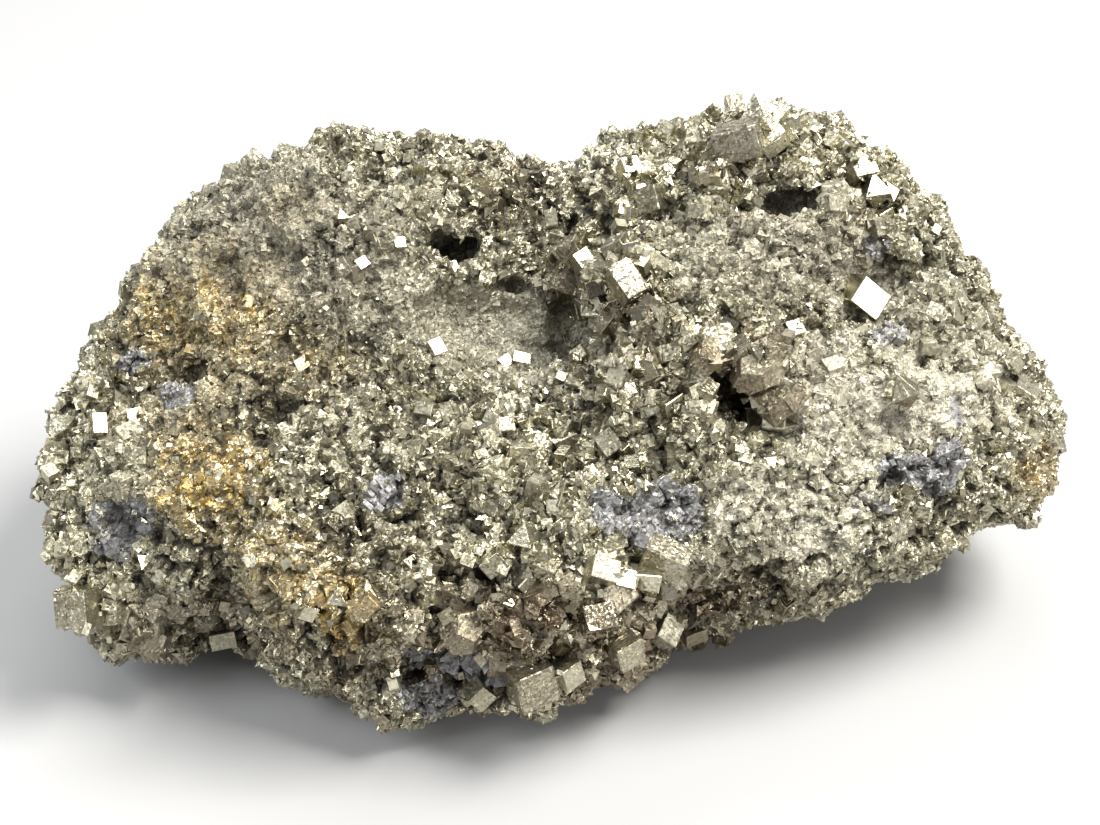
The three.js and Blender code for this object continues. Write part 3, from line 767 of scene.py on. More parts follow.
def ore_material(name, polish, matt, dullness, facets, tip, striae, contrast):
    """Weathered metallic ore, with painted shade in its pits. Striae is the depth of the growth lines that run
    across a crystal's faces.
    """
    found = bpy.data.materials.get(name)
    if found:
        return found
    material = bpy.data.materials.new(name)
    material.use_nodes = True
    tree = material.node_tree
    shader = tree.nodes["Principled BSDF"].inputs
    given = {mineral: (*getattr(settings().colours, mineral.lower()), 1) for mineral in MINERALS}
    given |= {
        "Polish": polish, "Matt": matt, "Dullness": dullness,
        "Grains per metre": facets, "Grain contrast": contrast,
    }
    weather = add_node(tree, "ShaderNodeGroup", node_tree=weathering_and_shade_group())
    for key, value in given.items():
        weather.inputs[key].default_value = value
    for output, socket in (("Colour", "Base Color"), ("Roughness", "Roughness"), ("Metal", "Metallic")):
        tree.links.new(weather.outputs[output], shader[socket])
    small = add_node(tree, "ShaderNodeGroup", node_tree=facet_group())
    small.inputs["Facets per metre"].default_value = facets
    small.inputs["Tip"].default_value = tip
    height = noise(tree, place_in(tree), GRAIN_PER_METRE, 2.0, 0.6)
    if striae:
        lines = noise(tree, attribute(tree, "stripe"), LINES_PER_MM)
        height = maths(tree, "MULTIPLY_ADD", lines, striae, height)
    bump = add_node(tree, "ShaderNodeBump", {
        "Strength": 0.35, "Distance": BUMP_DEPTH, "Height": height, "Normal": small.outputs["Normal"]})
    tree.links.new(bump.outputs["Normal"], shader["Normal"])
    return material


# The numbers of each finish: roughness of polished faces, how much rougher the unpolished are, roughness of
# dusty ones, facets to a metre, how far they tip, depth of the growth lines, and how much the facets' shades
# differ.

def crust_material():
    return ore_material("pyrite crust", 0.22, 0.26, 0.7, 2300.0, 0.9, 0.0, 1.0)


def druse_material():
    return ore_material("pyrite druse", 0.16, 0.34, 0.68, 2600.0, 0.35, 1.0, 0.6)


def crystal_material():
    return ore_material("pyrite crystal", 0.14, 0.34, 0.6, 2400.0, 0.7, 2.0, 0.6)


def mirror_material():
    return ore_material("pyrite mirror face", 0.1, 0.1, 0.4, 300.0, 0.03, 1.0, 0.05)


# ---- The massive ore ----

def crystal_basis(spin):
    """Rotation of a large crystal, given as turns about the face's own axes."""
    face = Matrix((Vector(ACROSS), Vector(UP), Vector(OUT))).transposed()
    x, y, z = (math.radians(angle) for angle in spin)
    own = Matrix.Rotation(x, 3, "X") @ Matrix.Rotation(y, 3, "Y") @ Matrix.Rotation(z, 3, "Z")
    return np.array(face @ own)


def form_named(form, rng):
    if form == "stepped":
        return stepped_block(rng)
    if form == "octahedron":
        return octahedron(0.012)
    if form == "pyritohedron":
        return pyritohedron(0.006)
    return bevelled_cube(0.022)


def depth_inside(form, turn, edges):
    """Distance from the middle of a crystal to its surface, along the way out of the face."""
    bm = bmesh.new()
    points, faces = form
    verts = [bm.verts.new(turn @ (point * edges)) for point in points]
    for face in faces:
        bm.faces.new([verts[index] for index in face])
    tree = BVHTree.FromBMesh(bm)
    bm.free()
    far = Vector(OUT * 0.05)
    hit = tree.ray_cast(far, -Vector(OUT))[0]
    return hit.length if hit else float(max(edges)) / 2


@functools.cache
def packed_tree():
    node = frame["nodes"][NODE]
    return BVHTree.FromPolygons([v.co for v in node.data.vertices], [p.vertices for p in node.data.polygons])


@functools.cache
def place_of(spec):
    """(centre, turn, edges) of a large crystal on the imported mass, so that it covers its solid if it has one."""
    form, (across, up), edges, spin, _ = spec
    turn = crystal_basis(spin)
    grown = np.array(edges) * MM + 2 * settings().crystals.proud
    start = face_middle() + (ACROSS * across + UP * up) * MM + OUT * 0.2
    hit = packed_tree().ray_cast(Vector(start), -Vector(OUT))[0]
    if hit is None:
        raise RuntimeError(f"no ore under the crystal at {across}, {up}")
    shape = plain_cube() if form in ("cube", "stepped") else form_named(form, None)
    deep = depth_inside(shape, turn, np.array(edges) * MM)
    return np.array(hit) - OUT * deep, turn, grown


@functools.cache
def large_places():
    return [place_of(spec) for spec in [*LARGE_CRYSTALS.values(), MIRROR_CUBE]]


def cut_out(mesh, cuts):
    """Keeps the part of a closed mesh on the kept sides of its cuts, with the overlap, and closes it."""
    bm = bmesh.new()
    bm.from_mesh(mesh)
    bmesh.ops.remove_doubles(bm, verts=bm.verts, dist=1e-6)
    for direction, distance, side in cuts:
        place = Vector(face_middle() + direction * (distance - side * OVERLAP))
        bmesh.ops.bisect_plane(
            bm, geom=bm.verts[:] + bm.edges[:] + bm.faces[:], plane_co=place,
            plane_no=Vector(direction * -side), clear_outer=True)
        bmesh.ops.holes_fill(bm, edges=[edge for edge in bm.edges if edge.is_boundary], sides=0)
    bmesh.ops.recalc_face_normals(bm, faces=bm.faces)
    bm.to_mesh(mesh)
    bm.free()


def depth_within(points, cuts):
    """Distance of each point from the nearest of the cuts, on the kept side."""
    moved = points - face_middle()
    return np.min([(moved @ direction - distance) * side for direction, distance, side in cuts], axis=0)


def ore_mesh(name, cuts, grain):
    """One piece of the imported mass, recut into even small facets."""
    mesh = frame["nodes"][NODE].data.copy()
    cut_out(mesh, cuts)
    rough = bpy.data.objects.new("recut", mesh)
    bpy.context.scene.collection.objects.link(rough)
    remesh = rough.modifiers.new("even facets", "REMESH")
    remesh.mode = "VOXEL"
    remesh.voxel_size = grain
    ready = rough.evaluated_get(bpy.context.evaluated_depsgraph_get())
    even = bpy.data.meshes.new_from_object(ready)
    bpy.data.objects.remove(rough)
    bpy.data.meshes.remove(mesh)
    even.name = name
    even.shade_flat()
    return even


def cracks_at(points):
    """Strength from 0 to 1 of the ragged cracks, which run mostly sideways and come and go."""
    longer = points * np.array([0.55, 1.0, 1.0])
    wander = np.abs(soft_noise(longer, 0.006, 45) + 0.35 * soft_noise(points, 0.0021, 46))
    return (1 - eased_step(wander, 0.04, 0.14)) * eased_step(soft_noise(points, 0.011, 47), 0.0, 0.3)


def pressed_under(points, spots):
    """Draws ore back from the large crystals, so that it doesn't break through their faces."""
    for centre, turn, edges in spots:
        local = (points - centre) @ turn
        reach = np.abs(local) / (edges / 2 + 1.1 * MM)
        inside = reach.max(axis=1) < 1
        local[inside] *= 0.72
        points[inside] = local[inside] @ turn.T + centre
    return points


SHADE_DEPTH = 2.6 * MM  # of the dark hollows and slits
CRACK_DEPTH = 1.7 * MM
DIP_DEPTH = 0.9 * MM
PIT_DEPTH = 0.7 * MM
SWELL_RISE = 0.5 * MM  # of soft waves a few millimetres wide
RIPPLE_RISE = 0.25 * MM
SLIVER_RISE = 0.3 * MM  # of the smallest chips
BURIED_DEPTH = 2.5 * MM  # how far a piece draws in where another piece covers it
SKIN = 0.3 * MM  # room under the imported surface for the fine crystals
FLOOR_GAP = 0.0001


def shape_ore(mesh, cuts, grain):
    """Breaks the surface into lumps, blocks, knobs and pits, and stores what materials and crystals need."""
    crust = settings().crust
    points, edges = arrays_of(mesh)
    low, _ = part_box(NODE)
    points = eased(points, edges, int(5 * (MM / grain) ** 2))
    set_points(mesh, points)
    found = zones(points, vertex_normals(mesh))
    broad = eased(points, edges, int(12 * (MM / grain) ** 2))
    set_points(mesh, broad)
    normals = vertex_normals(mesh)
    calm = (1 - 0.8 * found["smooth"]) * (1 - 0.45 * eased_step(found["lead"], 0.4, 0.7))
    calm *= (1 - 0.3 * found["film"]) * (1 - 0.35 * found["stain"])
    big, owner, _ = cells(points, crust.lump_size, 31)
    small, small_owner, _ = cells(points, crust.knob_size, 32)
    _, _, blocks = cells(points, crust.block_size, 37)
    _, _, chips = cells(points, crust.block_size * 0.5, 38)
    tiny, _, slivers = cells(points, crust.knob_size * 0.5, 33)
    blocky = (0.55 + 0.6 * found["coarse"] + 0.5 * found["broken"]) * calm * (1 - 0.5 * found["sugar"])
    _, _, breaks = cells(points, crust.block_size * 2.1, 52)
    cracks = cracks_at(points) * (1 - 0.8 * found["smooth"])
    pits = eased_step(soft_noise(points, 0.0024, 39), 0.38, 0.66) * (1 - 0.5 * found["smooth"])
    rise = (
        crust.lump_rise * (big * (0.55 + 0.6 * owner[:, 0]) - 0.45) * calm * (1 - 0.35 * found["sugar"])
        + crust.knob_rise * (small * (0.4 + small_owner[:, 0]) - 0.4) * calm
        + crust.block_rise * (blocks + 0.5 * chips) * blocky * (1 - 0.6 * found["broken"])
        + 1.6 * crust.block_rise * breaks * found["broken"]
        + SLIVER_RISE * (tiny - 0.5 + slivers) * (0.6 + 0.4 * blocky)
        + SWELL_RISE * soft_noise(points, 0.0035, 34) * calm
        + RIPPLE_RISE * soft_noise(points, 0.0012, 40)
        - SHADE_DEPTH * found["shade"] * (0.65 + 0.35 * soft_noise(points, 0.003, 36))
        - CRACK_DEPTH * cracks
        - DIP_DEPTH * eased_step(soft_noise(points, 0.0052, 35), 0.42, 0.8) * calm
        - PIT_DEPTH * pits
    )
    buried = 1 - eased_step(depth_within(points, cuts) + OVERLAP, 2.4 * MM, 4.2 * MM)
    rise = rise * (1 - buried) - BURIED_DEPTH * buried
    rng = np.random.default_rng(crust.seed)
    jitter = rng.normal(scale=0.16 * grain, size=points.shape) * (1 - 0.4 * found["smooth"])[:, None]
    points = points + normals * (rise - SKIN)[:, None] + jitter
    points = pressed_under(points, large_places())
    points[:, 2] = np.maximum(points[:, 2], low.z + FLOOR_GAP)
    set_points(mesh, points)
    outward = vertex_normals(mesh)
    # Painted shade: how far a point lies below its smoothed neighbours, together with the shaded zones, pits and
    # cracks, sets how dark its colour is painted.
    near, wide = (eased(points, edges, int(rounds * (MM / grain) ** 2)) for rounds in (5, 36))
    pit = ((near - points) * outward).sum(1) / (0.32 * MM)
    hollow = ((wide - points) * outward).sum(1) / (1.4 * MM)
    hollow *= eased_step(depth_within(points, cuts) + OVERLAP, 3.5 * MM, 8 * MM)
    cavity = 0.2 + 0.45 * np.clip(pit, -0.3, 1) + 0.7 * np.clip(hollow, -0.4, 1)
    cavity = cavity + 0.6 * found["shade"] + 0.3 * pits + 0.45 * cracks
    # Painted shade: tint leans the colour towards the deep one, and is raised on faces that look down.
    tint = 0.45 + 0.5 * soft_noise(points, 0.0016, 41) - 0.4 * found["bright"] + 0.2 * found["under"]
    keep_values(mesh, {
        "tint": np.clip(tint + 0.3 * found["brown"] - 0.45 * found["broken"], 0, 1),
        "stain": np.maximum(found["stain"], 0.3 * found["broken"])
        * (0.5 + 0.5 * eased_step(soft_noise(points, 0.0025, 42), -0.5, 0.3)),
        # Faces that look down also get more of the film, so they are duller and darker.
        "film": np.clip(found["film"] + 0.25 * found["under"], 0, 1),
        "sugar": found["sugar"],
        "lead": eased_step(found["lead"] + 0.12 * soft_noise(points, 0.0014, 43), 0.4, 0.6),
        "cavity": np.clip(cavity, 0, 1) * (1 - 0.8 * found["smooth"]) * (1 - 0.4 * found["sugar"])
        * (1 - 0.35 * found["film"]) * (1 - 0.35 * found["stain"])
        * (1 - 0.4 * eased_step(found["lead"], 0.4, 0.7) * (1 - found["shade"])),
        "polish": 0.5 + 0.5 * soft_noise(points, 0.0013, 44),
        "stripe": np.zeros(len(points)),
        "brown": found["brown"],
    })


# ---- Crystals on the ore ----

def triangles_of(mesh):
    """Corner points (n, 3, 3), outward normals, areas and a corner vertex of every triangle of a mesh."""
    mesh.calc_loop_triangles()
    corners = read(mesh.loop_triangles, "vertices", 3, np.int32)
    points, _ = arrays_of(mesh)
    triangles = points[corners]
    cross = np.cross(triangles[:, 1] - triangles[:, 0], triangles[:, 2] - triangles[:, 0])
    length = np.linalg.norm(cross, axis=1)
    return triangles, cross / np.maximum(length, 1e-12)[:, None], length / 2, corners[:, 0]


def clear_of(points, spots, margin):
    """Which points don't lie in or on a large crystal."""
    free = np.ones(len(points), bool)
    for centre, turn, edges in spots:
        reach = np.abs((points - centre) @ turn) - edges / 2
        free &= reach.max(axis=1) > margin
    return free


def seats(mesh, cover, rng, spots, margin, even=True):
    """Places that carry a crystal: their points, normals and a vertex whose values they take.
    cover(points, normals, vertices) says how many there are to a square millimetre."""
    triangles, normals, areas, first = triangles_of(mesh)
    if even:
        normals = vertex_normals(mesh)[first]
    wanted = cover(triangles.mean(axis=1), normals, first) * areas / MM ** 2
    chosen = np.repeat(np.arange(len(wanted)), np.floor(wanted + rng.random(len(wanted))).astype(int))
    a, b = np.sqrt(rng.random(len(chosen))), rng.random(len(chosen))
    share = np.stack([1 - a, a * (1 - b), a * b], axis=1)
    points = (triangles[chosen] * share[:, :, None]).sum(axis=1)
    free = clear_of(points, spots, margin)
    return points[free], normals[chosen][free], first[chosen][free]


def seats_on_ore(cover, rng, margin):
    """Seats on every piece of ore, with the ore's values at each. Where pieces overlap, only one has it."""
    found = []
    for name, cuts in ORE_PIECES.items():
        mesh = bpy.data.objects[name].data
        lead = values_of(mesh, "lead")

        def wanted(centres, normals, first):
            return cover(centres, normals, lead[first]) * (depth_within(centres, cuts) > 0)

        points, normals, first = seats(mesh, wanted, rng, large_places(), margin)
        found.append((points, normals, ore_values(mesh, first, rng)))
    points, normals = (np.concatenate([piece[k] for piece in found]) for k in (0, 1))
    values = {key: np.concatenate([piece[2][key] for piece in found]) for key in found[0][2]}
    return points, normals, values


@functools.cache
def ore_tree(name):
    ore = bpy.data.objects[name].data
    return BVHTree.FromPolygons([v.co for v in ore.vertices], [p.vertices for p in ore.polygons])


def standing_out(points, least):
    """Which points lie outside the ore by at least this much."""
    outside = np.zeros(len(points), bool)
    for name, cuts in ORE_PIECES.items():
        for index in np.flatnonzero(depth_within(points, cuts) > 0):
            near, normal, _, _ = ore_tree(name).find_nearest(Vector(points[index]))
            outside[index] = (Vector(points[index]) - near).dot(normal) > least
    return outside


CARRIED = ("stain", "film", "sugar", "lead", "cavity", "tint", "brown")


def ore_values(mesh, first, rng):
    """The ore's values for each crystal, with a tint of its own."""
    own = {name: values_of(mesh, name)[first] for name in CARRIED}
    count = len(first)
    own["tint"] = np.clip(own["tint"] * 0.6 + rng.normal(0.12, 0.3, count), 0, 1)
    # Painted shade: a crystal takes a smaller share of the painted shade of the pit it stands in.
    own["cavity"] = np.clip(own["cavity"] * 0.9 - 0.22, 0, 1)
    own["film"] = own["film"] * rng.uniform(0.5, 1.1, count)
    own["stain"] = own["stain"] * (rng.random(count) < 0.75) * rng.uniform(0.5, 1.0, count)
    own["lead"] = np.where(rng.random(count) < 0.35, 0.0, own["lead"])
    own["polish"] = rng.random(count) ** 2.2
    return own


def picked(values, chosen):
    return {name: number[chosen] for name, number in values.items()}


def swarm(points, normals, values, sizes, shares, forms, rng, tilt, sink):
    """Groups for swarm_mesh: every crystal gets one of the forms, by the shares."""
    kinds = rng.choice(len(forms), size=len(points), p=shares)
    stretch = rng.uniform(0.72, 1.3, (len(points), 3))
    turns = random_turns(rng, len(points))
    upright = turns_to(normals, rng, tilt)
    groups = []
    for kind, (form, stands) in enumerate(forms):
        chosen = kinds == kind
        turn = upright[chosen] if stands else turns[chosen]
        size = sizes[chosen][:, None] * stretch[chosen]
        placing = turn * size[:, None, :]
        centre = points[chosen] - normals[chosen] * (sizes[chosen] * sink)[:, None]
        groups.append((form, placing, centre, picked(values, chosen)))
    return groups


def split(points, normals):
    """Which sector each point belongs to: one of four across the crusted face, or the back."""
    x = face_places(points)[:, 0]
    behind = normals @ OUT < -0.1
    sector = np.digitize(x, SECTOR_ENDS)
    return np.where(behind, len(SECTOR_ENDS) + 1, sector)


SECTORS = ("left", "middle_left", "middle_right", "right", "back")
SECTOR_ENDS = (-50, 0, 42)
FRONT_TOP = -18  # coarse crystals lower than this on the face are a piece of their own
SHARP_BELOW = 2.3 * MM  # smaller crystals have no bevels
COARSE_RANGE = (1.0 * MM, 4.4 * MM)
FINE_RANGE = (0.35 * MM, 2.3 * MM)
COARSE_SHARES = (0.78, 0.14, 0.08)  # of cubes, octahedra and pyritohedra
FINE_SHARES = (0.12, 0.80, 0.08)  # of cubes, cube corners and octahedra
SUNK = 0.3  # of its size, each crystal's depth in the ore
GALENA_COVER = 0.22  # blocks to a square millimetre
GALENA_PATCH = 0.009  # width of the patches in which the blocks lie the same way


def add_coarse_crystals():
    crystals, crust = settings().crystals, settings().crust
    rng = np.random.default_rng(crust.seed + 2)

    def cover(centres, normals, lead):
        found = zones(centres, normals)
        amount = 0.08 + 1.25 * found["coarse"] + 0.3 * found["broken"]
        amount *= (1 - found["smooth"]) * (1 - 0.8 * found["sugar"]) * (1 - 0.7 * found["under"])
        amount *= 1 - 0.6 * lead
        amount *= 0.45 + 0.55 * eased_step(normals @ OUT, -0.5, 0.1)
        return crystals.coarse_cover * amount * (1 - 0.5 * found["shade"])

    points, normals, values = seats_on_ore(cover, rng, 0.8 * MM)
    found = zones(points, normals)
    sizes = crystals.coarse_size * rng.lognormal(-0.1, 0.42, len(points))
    sizes = np.clip(sizes, *COARSE_RANGE) * (0.6 + 0.5 * found["coarse"])
    # Coarse crystals take still less of the painted shade.
    values["cavity"] *= 0.4
    twinned = rng.random(len(points)) < 0.55
    slide = np.cross(normals[twinned], rng.normal(size=(twinned.sum(), 3)))
    slide /= np.linalg.norm(slide, axis=1)[:, None]
    points = np.concatenate([points, points[twinned] + slide * (0.55 * sizes[twinned])[:, None]])
    normals = np.concatenate([normals, normals[twinned]])
    sizes = np.concatenate([sizes, sizes[twinned] * rng.uniform(0.55, 0.9, twinned.sum())])
    values = {key: np.concatenate([number, number[twinned]]) for key, number in values.items()}
    sharp = [(plain_cube(), False), (octahedron(), False), (pyritohedron(), False)]
    bevelled = [(bevelled_cube(0.04), False), (octahedron(0.025), False), (pyritohedron(0.015), False)]
    front = face_places(points)[:, 1] < FRONT_TOP
    small = sizes < SHARP_BELOW
    for name, here in (("coarse_crystals_front", front), ("coarse_crystals_upper", ~front)):
        groups = []
        for forms, chosen in ((sharp, here & small), (bevelled, here & ~small)):
            groups += swarm(
                points[chosen], normals[chosen], picked(values, chosen), sizes[chosen],
                COARSE_SHARES, forms, rng, 0.6, SUNK)
        settle(object_from(name, swarm_mesh(name, groups)), crystal_material())


def add_fine_crystals():
    crystals, crust = settings().crystals, settings().crust
    rng = np.random.default_rng(crust.seed + 1)

    def cover(centres, normals, lead):
        found = zones(centres, normals)
        seen = eased_step(normals @ OUT, -0.5, 0.1)
        amount = 0.1 + 0.9 * seen
        amount *= 0.6 + 0.5 * found["coarse"]
        amount *= 1 + 2.2 * np.maximum(0.9 * found["film"], np.maximum(found["sugar"], found["smooth"]))
        amount *= (1 - 0.7 * found["broken"]) * (1 + 0.35 * found["stain"])
        amount *= 1 - 0.6 * found["under"]
        amount *= 1 - 0.7 * eased_step(lead, 0.3, 0.8)
        amount *= 1 - 0.85 * np.maximum(found["shade"], cracks_at(centres))
        return crystals.fine_cover * amount

    points, normals, values = seats_on_ore(cover, rng, 0.3 * MM)
    for name in ("coarse_crystals_front", "coarse_crystals_upper", "large_crystals"):
        coarse = bpy.data.objects[name].data

        def dusting(centres, normals, first):
            seen = eased_step(normals @ OUT, -0.6, 0.2)
            share = 0.4 if name == "large_crystals" else 1.0
            return crystals.dusting * share * seen * (1 - 0.9 * values_of(coarse, "polish")[first])

        near_spots = [] if name == "large_crystals" else large_places()
        more, facing, source = seats(coarse, dusting, rng, near_spots, 0.3 * MM, even=False)
        outside = standing_out(more, 0.1 * MM)
        points = np.concatenate([points, more[outside]])
        normals = np.concatenate([normals, facing[outside]])
        extra = ore_values(coarse, source[outside], rng)
        values = {key: np.concatenate([values[key], extra[key]]) for key in values}
    found = zones(points, normals)
    sizes = crystals.fine_size * rng.lognormal(0.0, 0.42, len(points))
    sizes = np.clip(sizes, *FINE_RANGE)
    dusty = np.maximum(0.9 * found["film"], np.maximum(found["sugar"], found["smooth"]))
    sizes *= 1 + 0.35 * found["coarse"] * (1 - dusty) - 0.48 * dusty
    sizes *= (1 + 0.25 * found["under"]) * (1 - 0.2 * found["stain"] * (1 - dusty))
    values["tint"] = np.clip(values["tint"] - 0.25 * found["bright"] * rng.random(len(points)), 0, 1)
    forms = [(plain_cube(), False), (cube_corner(), True), (octahedron(), False)]
    sector = split(points, normals)
    for index, name in enumerate(SECTORS):
        chosen = sector == index
        groups = swarm(
            points[chosen], normals[chosen], picked(values, chosen), sizes[chosen],
            FINE_SHARES, forms, rng, 0.7, SUNK)
        piece = object_from(f"fine_druse_{name}", swarm_mesh(f"fine_druse_{name}", groups))
        settle(piece, druse_material())


def add_galena():
    """Small blocks of galena that all lie the same way within a patch."""
    crust = settings().crust
    rng = np.random.default_rng(crust.seed + 3)

    def cover(centres, normals, lead):
        return GALENA_COVER * eased_step(lead, 0.5, 0.9)

    points, normals, values = seats_on_ore(cover, rng, 0.5 * MM)
    _, owner, _ = cells(points, GALENA_PATCH, 51)
    count = len(points)
    base = random_turns(np.random.default_rng(crust.seed + 4), 64)[(owner[:, 0] * 63).astype(int)]
    sizes = rng.lognormal(-0.3, 0.4, count)[:, None] * MM * rng.uniform(0.6, 1.5, (count, 3))
    values["lead"] = np.ones(count)
    values["polish"] *= 0.6
    # Painted shade: galena in the shaded zones is painted dark.
    values["cavity"] = np.maximum(values["cavity"] * 0.5, 0.8 * zones(points, normals)["shade"])
    placing = base * sizes[:, None, :]
    mesh = swarm_mesh("galena_blocks", [(plain_cube(), placing, points - normals * 0.3 * MM, values)])
    settle(object_from("galena_blocks", mesh), crystal_material())


def clean_values(**given):
    """The values of one clean crystal, apart from those given."""
    return {name: [given.get(name, 0.0)] for name in (*CARRIED, "polish")}


def add_large_crystals():
    crust = settings().crust
    rng = np.random.default_rng(crust.seed + 5)
    groups = []
    for name, spec in LARGE_CRYSTALS.items():
        form, _, _, _, bright = spec
        centre, turn, grown = place_of(spec)
        # Duller crystals are coloured brown: tarnish, and a painted dark reflection.
        values = clean_values(
            tint=0.75 - 0.75 * bright, film=0.12, lead=0.2 if name.startswith("grey") else 0.0, polish=bright,
            brown=max(0.0, 0.9 - 1.3 * bright))
        shape = form_named(form, rng)
        groups.append((shape, (turn * grown)[None], centre[None], values))
    mesh = swarm_mesh("large_crystals", groups)
    settle(object_from("large_crystals", mesh), crystal_material())


def add_mirror_cube():
    centre, turn, grown = place_of(MIRROR_CUBE)
    centre = centre + OUT * MM
    values = clean_values(polish=1.0)
    mesh = swarm_mesh("mirror_cube", [(bevelled_cube(0.03), (turn * grown)[None], centre[None], values)])
    settle(object_from("mirror_cube", mesh), mirror_material())


# ---- Studio ----

SENSOR_WIDTH = 36.0
SHIFT = (-0.00909, -0.01955)  # sideways and up, as shares of the frame's width
FLOOR_HALF = 3.0
WORLD_COLOUR = (0.9, 0.92, 1.0, 1)


def floor_material():
    material = bpy.data.materials.new("studio floor")
    material.use_nodes = True
    tree = material.node_tree
    shader = tree.nodes["Principled BSDF"]
    mottle = noise(tree, place_in(tree), 6.0, 3.0)
    pale = (*settings().colours.floor, 1)
    darker = tuple(channel * 0.97 for channel in pale[:3]) + (1,)
    tree.links.new(blend(tree, mottle, pale, darker), shader.inputs["Base Color"])
    shader.inputs["Roughness"].default_value = 0.85
    return material


def add_floor():
    mesh = bpy.data.meshes.new("floor")
    corners = [(x * FLOOR_HALF, y * FLOOR_HALF, 0) for x, y in ((-1, -1), (1, -1), (1, 1), (-1, 1))]
    mesh.from_pydata(corners, [], [(0, 1, 2, 3)])
    floor = bpy.data.objects.new("floor", mesh)
    bpy.context.scene.collection.objects.link(floor)
    floor.data.materials.append(floor_material())


def add_lamp(name, place, target, width, depth, power, colour):
    lamp = bpy.data.lights.new(name, "AREA")
    lamp.shape = "RECTANGLE"
    lamp.size, lamp.size_y = width, depth
    lamp.energy = power
    lamp.color = colour
    holder = bpy.data.objects.new(name, lamp)
    holder.location = place
    holder.rotation_euler = (Vector(target) - Vector(place)).to_track_quat("-Z", "Y").to_euler()
    bpy.context.scene.collection.objects.link(holder)


def add_camera():
    studio = settings().studio
    angle = studio.height_angle
    away = Vector((0, -math.cos(angle), math.sin(angle)))
    target = Vector(face_middle()) - Vector((MIDDLE_SHIFT, 0, 0))
    data = bpy.data.cameras.new("camera")
    data.lens = studio.lens
    data.sensor_width = SENSOR_WIDTH
    data.shift_x, data.shift_y = SHIFT
    data.clip_start = 0.01
    data.dof.use_dof = False
    camera = bpy.data.objects.new("camera", data)
    camera.location = target + away * studio.distance
    camera.rotation_euler = (-away).to_track_quat("-Z", "Y").to_euler()
    bpy.context.scene.collection.objects.link(camera)
    bpy.context.scene.camera = camera


def add_lamps():
    studio = settings().studio
    middle = tuple(face_middle())
    add_lamp("key lamp", (0.42, -0.05, 0.75), middle, 0.5, 0.35, studio.key_power, (1.0, 0.985, 0.95))
    add_lamp("side lamp", (0.68, -0.62, 0.20), middle, 0.3, 0.3, studio.side_power, (1.0, 0.99, 0.97))
    add_lamp("fill lamp", (-0.6, -0.35, 0.6), middle, 0.5, 0.5, studio.fill_power, (0.95, 0.98, 1.0))
    add_lamp("top lamp", (-0.1, 0.5, 0.7), middle, 0.7, 0.3, studio.rim_power, (1.0, 1.0, 1.0))
    world = bpy.data.worlds.new("studio")
    world.use_nodes = True
    background = world.node_tree.nodes["Background"]
    background.inputs["Color"].default_value = WORLD_COLOUR
    background.inputs["Strength"].default_value = studio.ambient
    bpy.context.scene.world = world
    bpy.context.scene.view_settings.view_transform = "Standard"


# ---- Operators ----

class SPECIMEN_OT_ore_body(bpy.types.Operator):
    """Builds the massive ore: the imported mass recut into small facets, with lumps, knobs and pits"""
    bl_idname = "specimen.ore_body"
    bl_label = "Ore body"

    def execute(self, context):
        crust = settings().crust
        for name, cuts in ORE_PIECES.items():
            grain = crust.back_grain if name == "ore_back" else crust.grain
            mesh = ore_mesh(name, cuts, grain)
            shape_ore(mesh, cuts, grain)
            piece = object_from(name, mesh)
            settle(piece, crust_material())
            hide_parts(NODE)
        return {"FINISHED"}


class SPECIMEN_OT_fine_druse(bpy.types.Operator):
    """Covers the ore with fine cubes, cube corners and octahedra"""
    bl_idname = "specimen.fine_druse"
    bl_label = "Fine druse"

    def execute(self, context):
        add_fine_crystals()
        return {"FINISHED"}


class SPECIMEN_OT_coarse_crystals(bpy.types.Operator):
    """Sets the coarser crystals into the coarse zones"""
    bl_idname = "specimen.coarse_crystals"
    bl_label = "Coarse crystals"

    def execute(self, context):
        add_coarse_crystals()
        return {"FINISHED"}


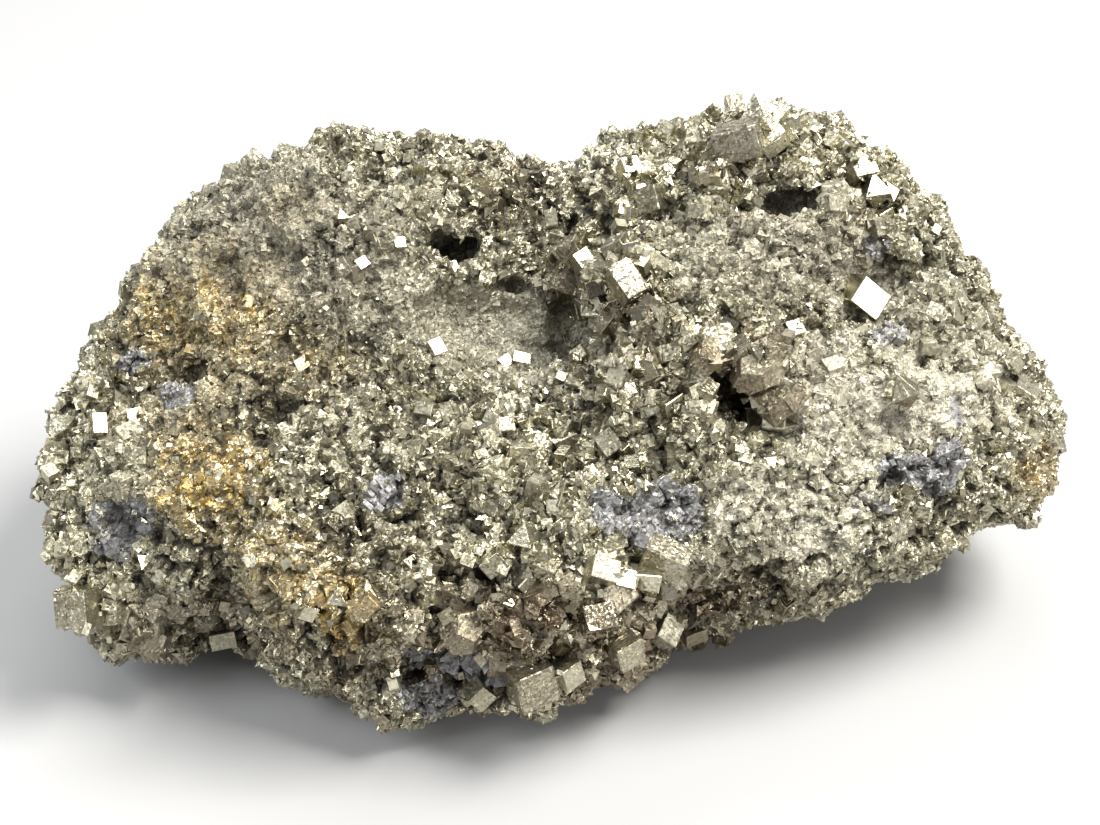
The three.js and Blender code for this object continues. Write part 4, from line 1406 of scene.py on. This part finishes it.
class SPECIMEN_OT_galena(bpy.types.Operator):
    """Lays blocks of galena over the blue grey patches"""
    bl_idname = "specimen.galena"
    bl_label = "Galena blocks"

    def execute(self, context):
        add_galena()
        return {"FINISHED"}


class SPECIMEN_OT_large_crystals(bpy.types.Operator):
    """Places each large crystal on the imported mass, over its solid if it has one"""
    bl_idname = "specimen.large_crystals"
    bl_label = "Large crystals"

    def execute(self, context):
        add_large_crystals()
        add_mirror_cube()
        return {"FINISHED"}


class SPECIMEN_OT_studio(bpy.types.Operator):
    """Adds the floor, the camera and the lamps"""
    bl_idname = "specimen.studio"
    bl_label = "Studio"

    def execute(self, context):
        add_floor()
        add_camera()
        add_lamps()
        return {"FINISHED"}


OPERATORS = (
    SPECIMEN_OT_ore_body, SPECIMEN_OT_coarse_crystals, SPECIMEN_OT_large_crystals,
    SPECIMEN_OT_fine_druse, SPECIMEN_OT_galena, SPECIMEN_OT_studio,
)


class SPECIMEN_PT_panel(bpy.types.Panel):
    """Lists the settings and the steps that build the specimen"""
    bl_idname = "SPECIMEN_PT_panel"
    bl_label = "Pyrite specimen"
    bl_space_type = "VIEW_3D"
    bl_region_type = "UI"
    bl_category = "Specimen"

    def draw(self, context):
        groups = context.scene.specimen
        for group in (groups.crust, groups.crystals, groups.colours, groups.studio):
            box = self.layout.box()
            for name in group.__annotations__:
                box.prop(group, name)
        for operator in OPERATORS:
            self.layout.operator(operator.bl_idname)


CLASSES = (
    CrustSettings, CrystalSettings, ColourSettings, StudioSettings, SpecimenSettings,
    *OPERATORS, SPECIMEN_PT_panel,
)


def register():
    for cls in CLASSES:
        bpy.utils.register_class(cls)
    bpy.types.Scene.specimen = PointerProperty(type=SpecimenSettings)


def unregister():
    del bpy.types.Scene.specimen
    for cls in reversed(CLASSES):
        bpy.utils.unregister_class(cls)


def main():
    register()
    bpy.ops.specimen.ore_body()
    bpy.ops.specimen.coarse_crystals()
    bpy.ops.specimen.large_crystals()
    bpy.ops.specimen.fine_druse()
    bpy.ops.specimen.galena()
    bpy.ops.specimen.studio()


if __name__ == "__main__":
    main()
